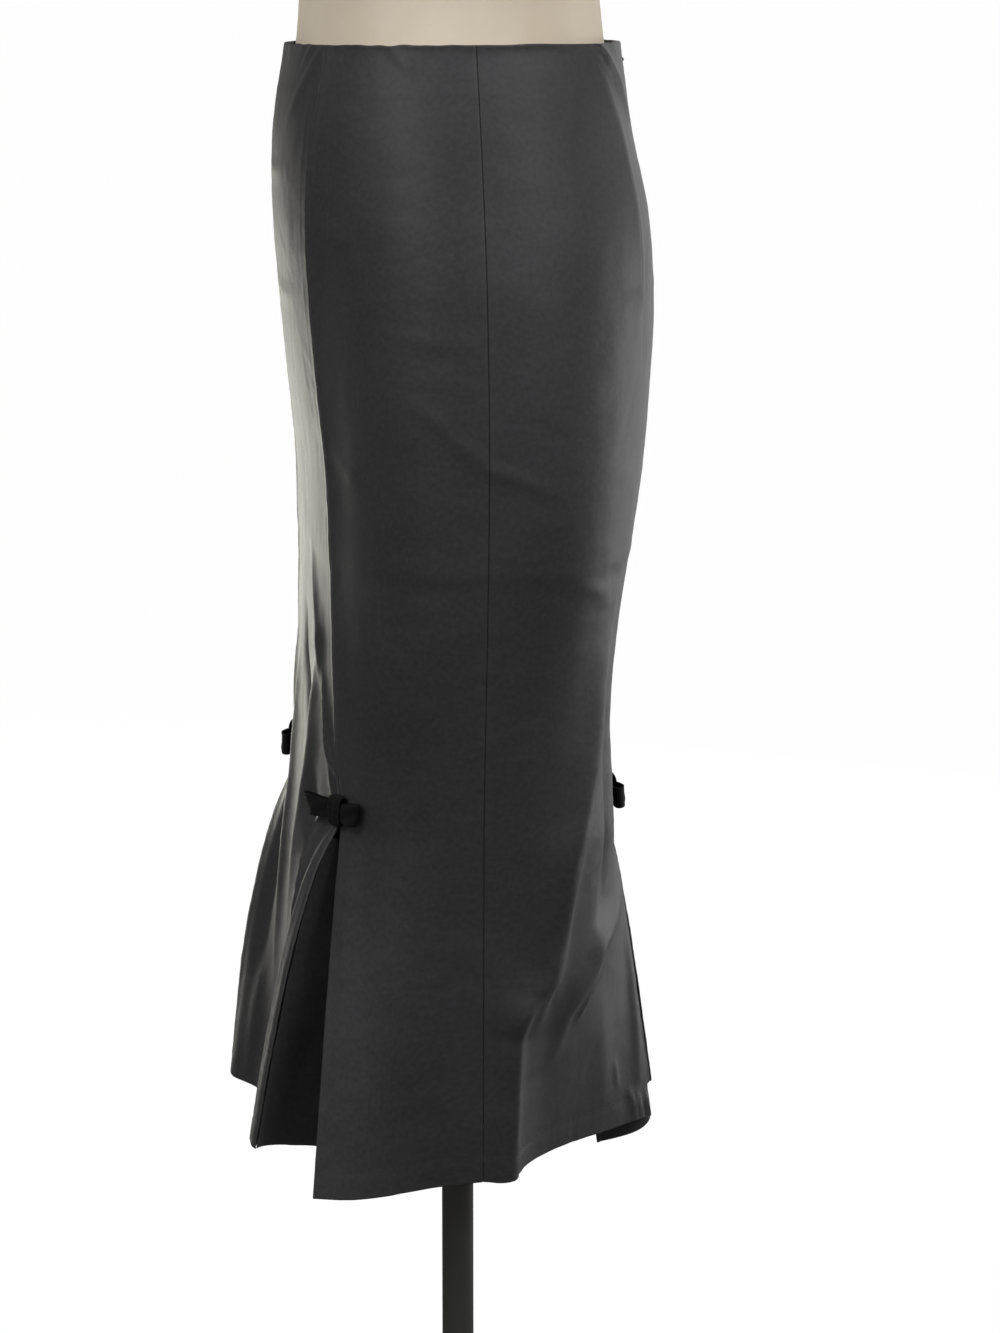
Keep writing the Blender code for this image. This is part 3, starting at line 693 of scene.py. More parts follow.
BUST_SECTIONS = (
    Section(1.030, 0.1178, -0.0915, 0.0835, 2.22),
    Section(1.080, 0.1225, -0.0935, 0.0810, 2.20),
    Section(1.150, 0.1345, -0.1030, 0.0845, 2.20),
    Section(1.220, 0.1480, -0.1190, 0.0905, 2.20),
    Section(1.270, 0.1560, -0.1230, 0.0950, 2.20),
    Section(1.330, 0.1640, -0.1080, 0.0990, 2.25),
    Section(1.380, 0.1630, -0.0860, 0.0960, 2.25),
    Section(1.410, 0.1440, -0.0680, 0.0860, 2.15),
    Section(1.432, 0.1060, -0.0560, 0.0740, 2.05),
    Section(1.450, 0.0720, -0.0520, 0.0650, 2.00),
    Section(1.480, 0.0580, -0.0500, 0.0580, 2.00),
    Section(1.520, 0.0560, -0.0480, 0.0550, 2.00),
)

STAND_OFFS = (
    StandOff(0.700, 0.0028, 0.0028, 0.0028),
    StandOff(0.760, 0.0023, 0.0024, 0.0023),
    StandOff(0.840, 0.0023, 0.0023, 0.0023),
    StandOff(0.900, 0.0026, 0.0030, 0.0032),
    StandOff(0.950, 0.0036, 0.0048, 0.0058),
    StandOff(1.000, 0.0056, 0.0074, 0.0104),
)

FRONT_SEAM = (
    SeamPlace(0.520, 0.0935),
    SeamPlace(0.552, 0.0920),
    SeamPlace(0.600, 0.0870),
    SeamPlace(0.650, 0.0810),
    SeamPlace(0.700, 0.0765),
    SeamPlace(0.800, 0.0745),
    SeamPlace(0.900, 0.0750),
    SeamPlace(0.960, 0.0765),
    SeamPlace(1.000, 0.0740),
)

FRONT_HEM = (
    HemPoint(-0.1215, -0.1180, 0.004, 0.85),
    HemPoint(-0.1150, -0.1290, 0.002, 0.80),
    HemPoint(-0.1008, -0.1327, 0.000, 0.75),
    HemPoint(-0.0753, -0.1215, 0.001, 0.80),
    HemPoint(-0.0400, -0.1150, 0.002, 0.90),
    HemPoint(0.0000, -0.1170, 0.005, 0.90),
    HemPoint(0.0450, -0.1220, 0.012, 0.80),
    HemPoint(0.0780, -0.1345, 0.021, 0.70),
    HemPoint(0.0960, -0.1412, 0.023, 0.62),
    HemPoint(0.1060, -0.1432, 0.023, 0.60),
    HemPoint(0.1130, -0.1425, 0.023, 0.60),
)
LEFT_SIDE_HEM = (
    HemPoint(0.1435, -0.1112, 0.000, 0.85),
    HemPoint(0.1500, -0.0900, 0.000, 0.90),
    HemPoint(0.1480, -0.0690, 0.000, 0.95),
    HemPoint(0.1385, -0.0400, 0.000, 1.00),
    HemPoint(0.1325, -0.0060, 0.000, 1.00),
)
RIGHT_SIDE_HEM = (
    HemPoint(-0.1330, -0.0060, 0.000, 1.00),
    HemPoint(-0.1420, -0.0400, 0.002, 1.00),
    HemPoint(-0.1490, -0.0690, 0.002, 0.95),
    HemPoint(-0.1500, -0.0880, 0.003, 0.90),
    HemPoint(-0.1455, -0.1040, 0.004, 0.85),
)
LEFT_BACK_HEM = (
    HemPoint(0.1325, -0.0060, 0.000, 1.00),
    HemPoint(0.1330, 0.0060, 0.000, 1.05),
    HemPoint(0.1160, 0.0190, 0.001, 1.10),
    HemPoint(0.0960, 0.0340, 0.001, 1.10),
    HemPoint(0.0760, 0.0550, 0.001, 1.00),
    HemPoint(0.0520, 0.0850, 0.000, 0.85),
    HemPoint(0.0250, 0.1202, 0.000, 0.70),
)
RIGHT_BACK_HEM = (
    HemPoint(-0.0450, 0.1360, 0.000, 0.75),
    HemPoint(-0.0640, 0.1180, 0.001, 0.85),
    HemPoint(-0.0820, 0.0850, 0.001, 1.00),
    HemPoint(-0.1020, 0.0560, 0.001, 1.05),
    HemPoint(-0.1220, 0.0330, 0.000, 1.05),
    HemPoint(-0.1350, 0.0120, 0.000, 1.05),
    HemPoint(-0.1330, -0.0060, 0.000, 1.00),
)


def between(rows: Sequence[object], column: str, z: np.ndarray) -> np.ndarray:
    """Read a table's column at heights, on a smooth curve through its rows.

    Args:
        rows: A table whose rows have z and the column.
        column: The column's name.
        z: The heights.

    Returns:
        The column's value at each height.
    """
    heights = np.array([row.z for row in rows])
    values = np.array([getattr(row, column) for row in rows])
    last = len(rows) - 1
    before = np.maximum(np.arange(last + 1) - 1, 0)
    after = np.minimum(np.arange(last + 1) + 1, last)
    slopes = (values[after] - values[before]) / (heights[after] - heights[before])
    z = np.clip(z, heights[0], heights[-1])
    low = np.clip(np.searchsorted(heights, z, side="right") - 1, 0, last - 1)
    span = heights[low + 1] - heights[low]
    f = (z - heights[low]) / span
    rise = values[low + 1] - values[low]
    start, end = slopes[low] * span, slopes[low + 1] * span
    return values[low] + f * start + f**2 * (3 * rise - 2 * start - end) + f**3 * (start + end - 2 * rise)


def smooth_through(points: np.ndarray, steps: int = 8) -> np.ndarray:
    """Draw a smooth curve through points.

    Args:
        points: One point in each row, of any dimension.
        steps: How many pieces each stretch is cut into.

    Returns:
        The finer line, one point in each row.
    """
    ends = np.vstack([points[0] * 2 - points[1], points, points[-1] * 2 - points[-2]])
    line = []
    for a, b, c, d in zip(ends, ends[1:], ends[2:], ends[3:]):
        bend, twist = a * 2 - b * 5 + c * 4 - d, b * 3 - a - c * 3 + d
        for step in range(steps):
            f = step / steps
            line.append(b + (c - a) * (f / 2) + bend * (f**2 / 2) + twist * (f**3 / 2))
    line.append(points[-1])
    return np.array(line)


def reached_along(line: np.ndarray) -> np.ndarray:
    """How far along a line of points each point lies."""
    return np.concatenate([[0.0], np.cumsum(np.linalg.norm(np.diff(line, axis=0), axis=1))])


def read_line(line: np.ndarray, reached: np.ndarray, targets: np.ndarray) -> np.ndarray:
    """Points of a line, or of what is known along it, at places that its steps reach."""
    return np.stack([np.interp(targets, reached, column) for column in line.T], axis=-1)


def at_shares(line: np.ndarray, shares: np.ndarray) -> np.ndarray:
    """Points of a line at shares of its length."""
    reached = reached_along(line)
    return read_line(line, reached, shares * reached[-1])


def eased(f: np.ndarray) -> np.ndarray:
    """A soft step from 0 to 1."""
    f = np.clip(f, 0.0, 1.0)
    return f * f * (3 - 2 * f)


def hump(distance: np.ndarray, middle: float, reach: float) -> np.ndarray:
    """A rounded hump: 1 at its middle, and little past its reach."""
    return np.exp(-(((distance - middle) / reach) ** 2))


def normals_of(grid: np.ndarray) -> np.ndarray:
    """Find the outward directions of a grid of points.

    Args:
        grid: Points by row, top row first, and by column, left to right seen from outside.

    Returns:
        A direction of length 1 at each point.
    """
    outward = np.cross(np.gradient(grid, axis=1), -np.gradient(grid, axis=0))
    return outward / np.maximum(np.linalg.norm(outward, axis=2, keepdims=True), TINY)


@dataclass(frozen=True)
class WovenForm:
    """The form that the skirt's cloth takes, above the pleats."""

    sections: tuple[Section, ...] = SKIRT_SECTIONS
    side_seam_y: float = -0.008
    top: float = 1.000
    waist_tilt: float = 0.036
    hem: float = 0.327
    front_pleat_top: float = 0.541
    back_pleat_top: float = 0.5205
    form_underside: float = 0.700

    def place(
        self,
        z: np.ndarray,
        angle: np.ndarray,
        sections: Optional[tuple[Section, ...]] = None,
        inset: Optional[tuple[StandOff, ...]] = None,
    ) -> np.ndarray:
        """Find points of level sections.

        Args:
            z: Heights.
            angle: Where round each section: 0 is the left side seam, a quarter turn the back.
            sections: The sections' table, the skirt's if none is given.
            inset: How far inside the sections the points lie.

        Returns:
            The points, with x, y and z last.
        """
        rows = sections or self.sections
        z, angle = np.broadcast_arrays(np.asarray(z, float), np.asarray(angle, float))
        c, s = np.cos(angle), np.sin(angle)
        width = between(rows, "half_width", z)
        to_back = between(rows, "back", z) - self.side_seam_y
        to_front = self.side_seam_y - between(rows, "front", z)
        if inset:
            width = width - between(inset, "side", z)
            to_back = to_back - between(inset, "back", z)
            to_front = to_front - between(inset, "front", z)
        depth = np.where(s > 0, to_back, to_front)
        power = 2 / between(rows, "fullness", z)
        x = width * np.sign(c) * np.abs(c) ** power
        y = self.side_seam_y + depth * np.sign(s) * np.abs(s) ** power
        return np.stack([x, y, z], axis=-1)

    def front_seam(self, z: np.ndarray) -> np.ndarray:
        """The angle of the left front seam at heights."""
        share = between(FRONT_SEAM, "across", z) / between(self.sections, "half_width", z)
        return -np.arccos(share ** (between(self.sections, "fullness", z) / 2))


FORM = WovenForm()


# ---- creases and relief


@dataclass(frozen=True)
class CreasePoint:
    """A point of a crease's crest: how far across its panel, its height and how proud it is."""

    across: float
    z: float
    proud_mm: float


@dataclass(frozen=True)
class Crease:
    """A soft ridge, or a trough where proud is negative, drawn from its upper end down.

    Attributes:
        route: The crest's points.
        left_mm: How wide its flank is on the left, seen from outside.
        right_mm: The same on the right.
        crisp: 2 for a rounded crest, towards 1 for a sharp one.
    """

    route: tuple[CreasePoint, ...]
    left_mm: float
    right_mm: float
    crisp: float = 1.8

    def lift(self, across: np.ndarray, z: np.ndarray, width_at: Callable[[float], float]) -> np.ndarray:
        """How far the crease lifts points of its panel.

        Args:
            across: The points' distances from the panel's middle line, in metres.
            z: Their heights.
            width_at: The panel's width at a height.

        Returns:
            The lift at each point, in metres.
        """
        crest = np.array([((p.across - 0.5) * width_at(p.z), p.z, p.proud_mm * MM) for p in self.route])
        crest = smooth_through(crest, 6)
        nearest = np.full(across.shape, np.inf)
        lift = np.zeros(across.shape)
        for a, b in zip(crest, crest[1:]):
            run = b[:2] - a[:2]
            length = max(float(run @ run), TINY)
            off_x, off_z = across - a[0], z - a[1]
            f = np.clip((off_x * run[0] + off_z * run[1]) / length, 0.0, 1.0)
            dx, dz = off_x - f * run[0], off_z - f * run[1]
            distance = np.hypot(dx, dz)
            right_side = run[0] * off_z - run[1] * off_x > 0
            flank = np.where(right_side, self.right_mm, self.left_mm) * MM
            value = (a[2] + (b[2] - a[2]) * f) * np.exp(-((distance / flank) ** self.crisp))
            closer = distance < nearest
            nearest = np.where(closer, distance, nearest)
            lift = np.where(closer, value, lift)
        return lift


def crease(left_mm: float, right_mm: float, *route: tuple[float, float, float], crisp: float = 1.8) -> Crease:
    """Write a crease: its flanks, then its crest as (across in thousandths, z in mm, proud in mm)."""
    points = tuple(CreasePoint(across / 1000, z / 1000, proud) for across, z, proud in route)
    return Crease(points, left_mm, right_mm, crisp)


def ripple(s: np.ndarray, longest: float, seed: int) -> np.ndarray:
    """An uneven wave from -1 to 1 along a length.

    Args:
        s: The length, in metres.
        longest: The longest of its waves, in metres.
        seed: Which of many such waves.

    Returns:
        The wave's height at each place.
    """
    golden, waves = 0.618034, 4
    total = np.zeros(np.shape(s))
    for k in range(waves):
        length = longest * (0.83 - 0.17 * k + 0.07 * ((seed * golden * (k + 1)) % 1.0))
        phase = 2 * math.pi * ((seed * golden + 0.37 * k * seed) % 1.0)
        total = total + np.sin(2 * math.pi * s / length + phase) / waves
    return total


def uneven(across: np.ndarray, z: np.ndarray, size: float, seed: int) -> np.ndarray:
    """A soft unevenness over a surface.

    Args:
        across: How far across the surface its points lie.
        z: Their heights.
        size: The largest of its waves, in metres.
        seed: Which of many such surfaces.

    Returns:
        The unevenness at each point, from about -1 to 1.
    """
    turned = across * 0.8 + z * 0.6
    other = z * 0.8 - across * 0.6
    return (
        ripple(turned + 0.3 * size * ripple(other, size, seed + 5), size, seed)
        + ripple(other + 0.3 * size * ripple(turned, size, seed + 7), size, seed + 3)
    ) / 1.4


LEFT_BACK_CREASES = (
    crease(15, 10, (500, 702, 0), (465, 677, 0.5), (430, 650, 1.2), (425, 630, 1.8), (415, 604, 2.4),
           (385, 580, 2.9), (335, 557, 3.4), (280, 528, 3.9), (250, 500, 4), (238, 478, 4), (222, 458, 3.9),
           (185, 446, 3.6), (135, 432, 2.2), (110, 418, 0), crisp=1.6),
    crease(7, 9, (160, 446, 0.4), (125, 432, 2.4), (113, 410, 3), (113, 385, 2.9), (118, 351, 2.5),
           (115, 327, 2.2), crisp=1.4),
    crease(4, 6, (228, 462, 0.6), (213, 446, 1.5), (200, 428, 1.4), (203, 412, 0), crisp=1.5),
    crease(4, 6, (360, 560, 0), (312, 523, 1.1), (276, 500, 1.3), (266, 479, 0.9), (262, 450, 0.6),
           (275, 424, 0), crisp=1.5),
    crease(11, 9, (985, 492, 0), (900, 480, 0.9), (700, 467, 2.2), (550, 459, 2.9), (480, 445, 3),
           (396, 431, 2.5), (345, 421, 1.7), (290, 400, 1), (260, 384, 0), crisp=1.5),
    crease(4, 6, (640, 452, 0.2), (490, 433, 1.3), (430, 420, 1.1), (411, 410, 0), crisp=1.5),
    crease(9, 9, (420, 640, 0), (520, 600, -0.8), (560, 560, -1.8), (580, 520, -2.2), (560, 490, -1.4),
           (500, 470, 0)),
    crease(7, 6, (930, 500, 0), (950, 440, 0.9), (955, 390, 1.1), (945, 345, 0.3)),
    crease(16, 14, (610, 430, 0), (660, 390, 0.9), (700, 352, 0.5), (710, 335, 0)),
    crease(2.5, 2, (770, 375, 0), (785, 364, 0.5), (803, 350, 0)),
    crease(2.5, 2, (865, 352, 0), (890, 341, 0.8), (907, 328, 0.6)),
    crease(2.5, 2, (910, 350, 0), (930, 338, 0.8), (946, 327, 0.6)),
    crease(2.0, 2, (965, 347, 0), (980, 336, 0.7), (988, 327, 0.6)),
    crease(2.5, 3, (150, 356, 0), (146, 341, 0.7), (140, 327, 0.7)),
    crease(2.0, 3, (192, 348, 0), (186, 337, 0.6), (180, 327, 0.5)),
    crease(3.0, 6, (452, 1000, 1.3), (500, 992, 1.5), (560, 982, 1.2), (650, 962, 0.5), (700, 950, 0)),
    crease(6, 4, (0, 767, 0.45), (140, 755, 0.25), (220, 750, 0)),
    crease(5, 5, (400, 860, 0), (520, 852, 0.4), (640, 848, 0)),
    crease(8, 8, (180, 700, 0), (330, 690, 0.5), (480, 676, 0)),
)

RIGHT_BACK_CREASES = (
    crease(10, 15, (520, 690, 0), (560, 650, 1.2), (570, 610, 2), (620, 560, 2.9), (720, 520, 3.4),
           (760, 480, 3.6), (800, 450, 3.6), (880, 420, 3.2), (890, 380, 2.6), (885, 327, 1.8), crisp=1.6),
    crease(9, 10, (60, 480, 0), (300, 462, 2), (450, 446, 2.6), (560, 425, 2), (640, 400, 1), (690, 380, 0),
           crisp=1.5),
    crease(6, 4, (620, 545, 0), (690, 500, 1.2), (720, 470, 0.8), (730, 440, 0), crisp=1.5),
    crease(9, 9, (500, 630, 0), (440, 570, -1.6), (430, 520, -2), (480, 480, 0)),
    crease(12, 14, (340, 430, 0), (320, 390, 1), (290, 350, 0.4), (280, 335, 0)),
    crease(2, 2.5, (110, 352, 0), (90, 340, 0.8), (80, 327, 0.6)),
    crease(2, 2.5, (230, 356, 0), (215, 342, 0.7), (205, 327, 0.5)),
    crease(6, 3, (540, 1000, 1), (480, 984, 1.2), (380, 965, 0.4), (330, 955, 0)),
    crease(5, 5, (350, 856, 0), (480, 850, 0.4), (600, 846, 0)),
    crease(8, 8, (520, 678, 0), (660, 690, 0.5), (800, 700, 0)),
)

FRONT_CREASES = (
    crease(5, 7, (590, 705, 0), (630, 688, 0.6), (740, 662, 1.2), (800, 646, 1.1), (840, 615, 0), crisp=1.5),
    crease(7, 5, (440, 665, 0), (500, 633, -1.1), (620, 605, -1.1), (660, 575, 0)),
    crease(9, 11, (800, 655, 0), (773, 634, 1), (715, 600, 1.5), (690, 573, 1.8), (630, 542, 2),
           (606, 500, 1.8), (600, 455, 1), (600, 420, 0), crisp=1.6),
    crease(4, 5, (855, 635, 0), (880, 614, 1), (915, 588, 1.3), (975, 574, 0.9), crisp=1.5),
    crease(4, 4, (900, 600, 0), (930, 570, 0.9), (960, 550, 0.4), crisp=1.5),
    crease(4, 4, (868, 548, 0.6), (862, 534, 1.6), (866, 512, 1.9), (885, 488, 1.2), (890, 470, 0),
           crisp=1.5),
    crease(7, 6, (985, 542, 0.4), (975, 532, 0.9), (965, 515, 1.2), (960, 494, 1.3), (958, 466, 1.3),
           (960, 424, 1.2), (962, 387, 1), (965, 350, 0.8), crisp=1.4),
    crease(8, 8, (740, 575, 0), (750, 540, -1.5), (765, 490, -1.6), (765, 440, -0.8), (770, 400, 0)),
    crease(9, 9, (540, 520, 0), (520, 470, -1.2), (510, 410, -1), (500, 350, 0)),
    crease(10, 9, (680, 440, 0), (700, 400, 1.1), (710, 360, 0.8), (710, 340, 0.2)),
    crease(9, 9, (330, 640, 0), (320, 590, 1.2), (330, 530, 1.8), (360, 460, 1.3), (370, 400, 0), crisp=1.6),
    crease(6, 5, (180, 650, 0), (150, 610, 1), (100, 580, 1.2), (30, 570, 0.8), crisp=1.5),
    crease(7, 8, (30, 542, 0.5), (60, 530, 1.6), (90, 505, 2.6), (110, 470, 3), (115, 420, 3),
           (100, 380, 2.4), (85, 340, 1.6), crisp=1.4),
    crease(8, 8, (230, 570, 0), (220, 520, -1.5), (210, 450, -1.3), (220, 400, 0)),
    crease(9, 10, (240, 430, 0), (230, 380, 1.2), (220, 335, 0.6)),
    crease(5, 6, (1000, 1003, 0.5), (940, 994, 0.7), (860, 981, 0.6), (760, 964, 0.4), (660, 950, 0)),
    crease(3, 4, (900, 1004, 0.3), (850, 996, 0.5), (800, 987, 0.2), (760, 980, 0)),
    crease(6, 6, (250, 930, 0), (450, 925, 0.4), (700, 928, 0)),
    crease(6, 6, (200, 860, 0), (500, 852, 0.4), (800, 858, 0)),
)

LEFT_SIDE_CREASES = (
    crease(4, 5, (600, 808, 0), (760, 795, 0.4), (900, 778, 0.5), (1000, 767, 0.45)),
    crease(4, 4, (540, 843, 0), (720, 840, 0.3), (930, 838, 0)),
    crease(3, 4, (515, 1000, 0.5), (580, 995, 0.6), (640, 984, 0)),
    crease(5, 5, (80, 905, 0), (200, 896, 0.35), (360, 893, 0)),
    crease(5, 5, (50, 770, 0), (180, 758, 0.35), (330, 752, 0)),
    crease(14, 16, (300, 560, 0), (240, 520, -0.9), (300, 450, -0.9), (400, 380, 0)),
    crease(10, 10, (750, 600, 0), (800, 540, 0.5), (780, 470, 0)),
)

RIGHT_SIDE_CREASES = (
    crease(4, 5, (0, 772, 0.4), (160, 785, 0.4), (380, 806, 0)),
    crease(4, 4, (100, 836, 0), (300, 842, 0.3), (460, 846, 0)),
    crease(4, 3, (450, 1000, 0.5), (400, 992, 0.6), (340, 982, 0)),
    crease(12, 12, (650, 540, 0), (700, 480, -1), (620, 400, 0)),
)

DART = (
    (0.422, 1.000), (0.440, 0.990), (0.474, 0.971), (0.518, 0.948),
    (0.528, 0.914), (0.531, 0.882), (0.531, 0.864),
)
DART_PROUD_MM = (3.0, 3.8, 4.2, 4.2, 3.6, 2.4, 0.8)


# ---- panels of cloth

CLOTH_ANGLE = 65.0  # degrees; only the cloth's cut edges stay sharp
WEAR_AND_SHEEN_REACH = 2.2 * MM  # how far in from an edge the cloth is painted paler, for pressing wear and painted sheen


class Side(Enum):
    """Which edges of a panel open into a pleat below the bow."""

    FIRST = "first"
    LAST = "last"
    BOTH = "both"


@dataclass
class SkirtPanel:
    """One panel of the skirt, cut, shaped, creased, turned at its edges and stitched at its hem.

    Attributes:
        name: The panel's name, which is also its solid's.
        first_angle: Where its first seam runs round the form, by height.
        last_angle: Where its last seam runs.
        hem_points: Its hem seen from above.
        creases: Its creases.
        first_pleat: Where its first seam opens below a bow.
        last_pleat: Where its last seam opens.
        pleats: Which of its edges open into a pleat.
        dart: Where its waist dart runs, as (across, z), if it has one.
        seed: Which unevenness it has.
    """

    name: str
    first_angle: Callable[[np.ndarray], np.ndarray]
    last_angle: Callable[[np.ndarray], np.ndarray]
    hem_points: tuple[HemPoint, ...]
    creases: tuple[Crease, ...]
    first_pleat: float
    last_pleat: float
    pleats: Side
    seed: int
    dart: tuple[tuple[float, float], ...] = ()
    column_step: float = 2.4 * MM
    row_step: float = 2.4 * MM
    cloth: float = 0.9 * MM
    turn_radius: float = 0.9 * MM
    crease_strength: float = 1.7
    corner_proud: float = 2.0 * MM
    sunk: float = 0.0
    hem_depth: float = 16.5 * MM
    facing_depth: float = 28.0 * MM
    allowance: float = 11.0 * MM
    edge_steps: tuple[float, ...] = (0.0, 0.3 * MM, 0.7 * MM, 1.2 * MM, 2.0 * MM, 3.2 * MM)
    across: np.ndarray = field(init=False, repr=False)
    base: np.ndarray = field(init=False, repr=False)
    width: np.ndarray = field(init=False, repr=False)
    mean_z: np.ndarray = field(init=False, repr=False)
    from_middle: np.ndarray = field(init=False, repr=False)
    from_top: np.ndarray = field(init=False, repr=False)
    from_hem: np.ndarray = field(init=False, repr=False)
    surface: np.ndarray = field(init=False, repr=False)
    outward: np.ndarray = field(init=False, repr=False)

    def stations(self, length: float, step: float, first: bool = True, last: bool = True) -> np.ndarray:
        """Choose where the grid has its lines along a length.

        Args:
            length: The length.
            step: How far apart the lines are.
            first: Whether they are closer at its start.
            last: Whether they are closer at its end.

        Returns:
            The lines' places, as shares of the length.
        """
        marks = list(self.edge_steps) if first else [0.0]
        end = self.edge_steps[-1] if last else 0.0
        count = max(2, round((length - marks[-1] - end) / step))
        marks += list(np.linspace(marks[-1], length - end, count + 1)[1:])
        if last:
            marks += [length - d for d in reversed(self.edge_steps[:-1])]
        return np.array(marks) / length

    def finer_at_dart(self, shares: np.ndarray) -> np.ndarray:
        """Add lines to the grid where the dart runs.

        Args:
            shares: The lines' places across the panel.

        Returns:
            The places with two more between each pair at the dart.
        """
        if not self.dart:
            return shares
        margin = 0.02
        reach = [across for across, _ in self.dart]
        near = (shares[:-1] > min(reach) - margin) & (shares[1:] < max(reach) + margin)
        starts, gaps = shares[:-1][near], np.diff(shares)[near]
        return np.sort(np.concatenate([shares, starts + gaps / 3, starts + gaps * 2 / 3]))

    def upper_table(self, shares: np.ndarray) -> tuple[np.ndarray, np.ndarray]:
        """Find evenly spaced points across the panel at many levels above the pleats.

        Args:
            shares: The grid lines' places across the panel.

        Returns:
            The levels, and the points at each of them.
        """
        level_count, angle_count = 220, 161
        levels = np.linspace(self.lowest_pleat() - 4 * MM, FORM.top + 8 * MM, level_count)
        first, last = self.first_angle(levels), self.last_angle(levels)
        angles = first[:, None] + (last - first)[:, None] * np.linspace(0.0, 1.0, angle_count)
        lines = FORM.place(levels[:, None], angles)
        return levels, np.stack([at_shares(line, shares) for line in lines])

    def ends_at(self, z: float) -> tuple[float, float]:
        """The angles at which the panel starts and ends at a height."""
        level = np.array([z])
        return float(self.first_angle(level)[0]), float(self.last_angle(level)[0])

    def lowest_pleat(self) -> float:
        """The lower of the heights at which the panel's two edges open."""
        return min(self.first_pleat, self.last_pleat)

    def shape(self) -> None:
        """Work out the panel's smooth form as a grid of points."""
        hem = smooth_through(np.array([(p.x, p.y, FORM.hem + p.lift, p.soon) for p in self.hem_points]))
        wide = reached_along(hem[:, :3])[-1]
        across = self.finer_at_dart(self.stations(wide, self.column_step))
        levels, table = self.upper_table(across)
        pleat = self.first_pleat + (self.last_pleat - self.first_pleat) * across
        upper_length = FORM.top - self.lowest_pleat()
        lower_length = self.lowest_pleat() - FORM.hem
        upper = self.stations(upper_length, self.row_step, last=False)
        lower = self.stations(lower_length, self.row_step, first=False)[1:]

        top_line = at_shares(FORM.place(FORM.top, np.linspace(*self.ends_at(FORM.top), 161)), across)
        wavering = 0.9 * MM * ripple(top_line[:, 0] + top_line[:, 1], 0.060, self.seed + 9)
        tops = FORM.top + FORM.waist_tilt * top_line[:, 0] + wavering * np.sin(np.pi * across)
        z = tops + (pleat - tops) * upper[:, None]
        f = (z - levels[0]) / (levels[1] - levels[0])
        k = np.clip(f.astype(int), 0, len(levels) - 2)
        f = (f - k)[..., None]
        columns = np.arange(len(across))
        above = table[k, columns] * (1 - f) + table[k + 1, columns] * f
        hem_line = at_shares(hem, across)
        share = lower[:, None]
        start = above[-1]
        flare = (share ** hem_line[:, 3])[..., None]
        level = start[:, :2] + (hem_line[:, :2] - start[:, :2]) * flare
        depth = start[:, 2] + (hem_line[:, 2] - start[:, 2]) * share
        below = np.concatenate([level, depth[..., None]], axis=2)
        self.across = across
        self.base = self.soften(np.concatenate([above, below]))
        widths = np.linalg.norm(np.diff(self.base, axis=1), axis=2).sum(axis=1)
        self.width = widths[:, None]
        self.from_middle = (across - 0.5) * self.width
        self.mean_z = self.base[:, :, 2].mean(axis=1)
        drops = np.linalg.norm(np.diff(self.base, axis=0), axis=2)
        fall = np.vstack([np.zeros(len(across)), np.cumsum(drops, axis=0)])
        self.from_top = fall
        self.from_hem = fall[-1] - fall

    def soften(self, grid: np.ndarray) -> np.ndarray:
        """Round the bend where the panel starts to flare, leaving its top and hem.

        Args:
            grid: The panel's points.

        Returns:
            The softened points.
        """
        reach, spread, band = 7, 3.2, 40 * MM
        weights = np.exp(-0.5 * (np.arange(-reach, reach + 1) / spread) ** 2)
        weights /= weights.sum()
        padded = np.concatenate([grid[:1].repeat(reach, axis=0), grid, grid[-1:].repeat(reach, axis=0)])
        smooth = sum(w * padded[i:i + len(grid)] for i, w in enumerate(weights))
        near = hump(grid[:, :, 2], self.lowest_pleat() - 4 * MM, band)[..., None]
        return grid + (smooth - grid) * near

    def width_at(self, z: float) -> float:
        """The panel's width at a height."""
        return float(np.interp(z, self.mean_z[::-1], self.width[::-1, 0]))

    def relief(self) -> np.ndarray:
        """Add up how far each point stands out of the smooth form.

        Returns:
            The height of the creases, seams and edges, and of what shows through.
        """
        z = self.base[:, :, 2]
        out = np.zeros(z.shape)
        for item in self.creases:
            out += self.crease_strength * item.lift(self.from_middle, z, self.width_at)
        first, last = self.across * self.width, (1 - self.across) * self.width
        out += self.seam_relief(first, z, 1) + self.seam_relief(last, z, 2)
        out += 0.22 * MM * uneven(self.from_middle, z, 75 * MM, self.seed)
        out += 0.10 * MM * uneven(self.from_middle * 0.6, z * 1.8, 30 * MM, self.seed + 11)
        if self.pleats is not Side.LAST:
            out += self.corner(first, z)
        if self.pleats is not Side.FIRST:
            out += self.corner(last, z)
        out += self.waist_relief() + self.hem_relief() + self.form_relief(z)
        if self.dart:
            out += self.dart_relief(z)
        return out

    def form_relief(self, z: np.ndarray) -> np.ndarray:
        """How the form's lower edge shows through the cloth, which falls in below it.

        Args:
            z: The points' heights.

        Returns:
            The relief at each point.
        """
        edge, sunk_at, sunk_reach = FORM.form_underside, 0.640, 150 * MM
        sunk = self.sunk * np.exp(-(((z - sunk_at) / sunk_reach) ** 4))
        below = eased((edge + 2 * MM - z) / (9 * MM))
        recovering = 1 - eased((edge - z) / (60 * MM))
        on_form = eased((z - edge + 2 * MM) / (6 * MM)) * (1 - eased((z - edge) / (30 * MM)))
        return 0.30 * MM * on_form - 0.40 * MM * below * recovering - sunk

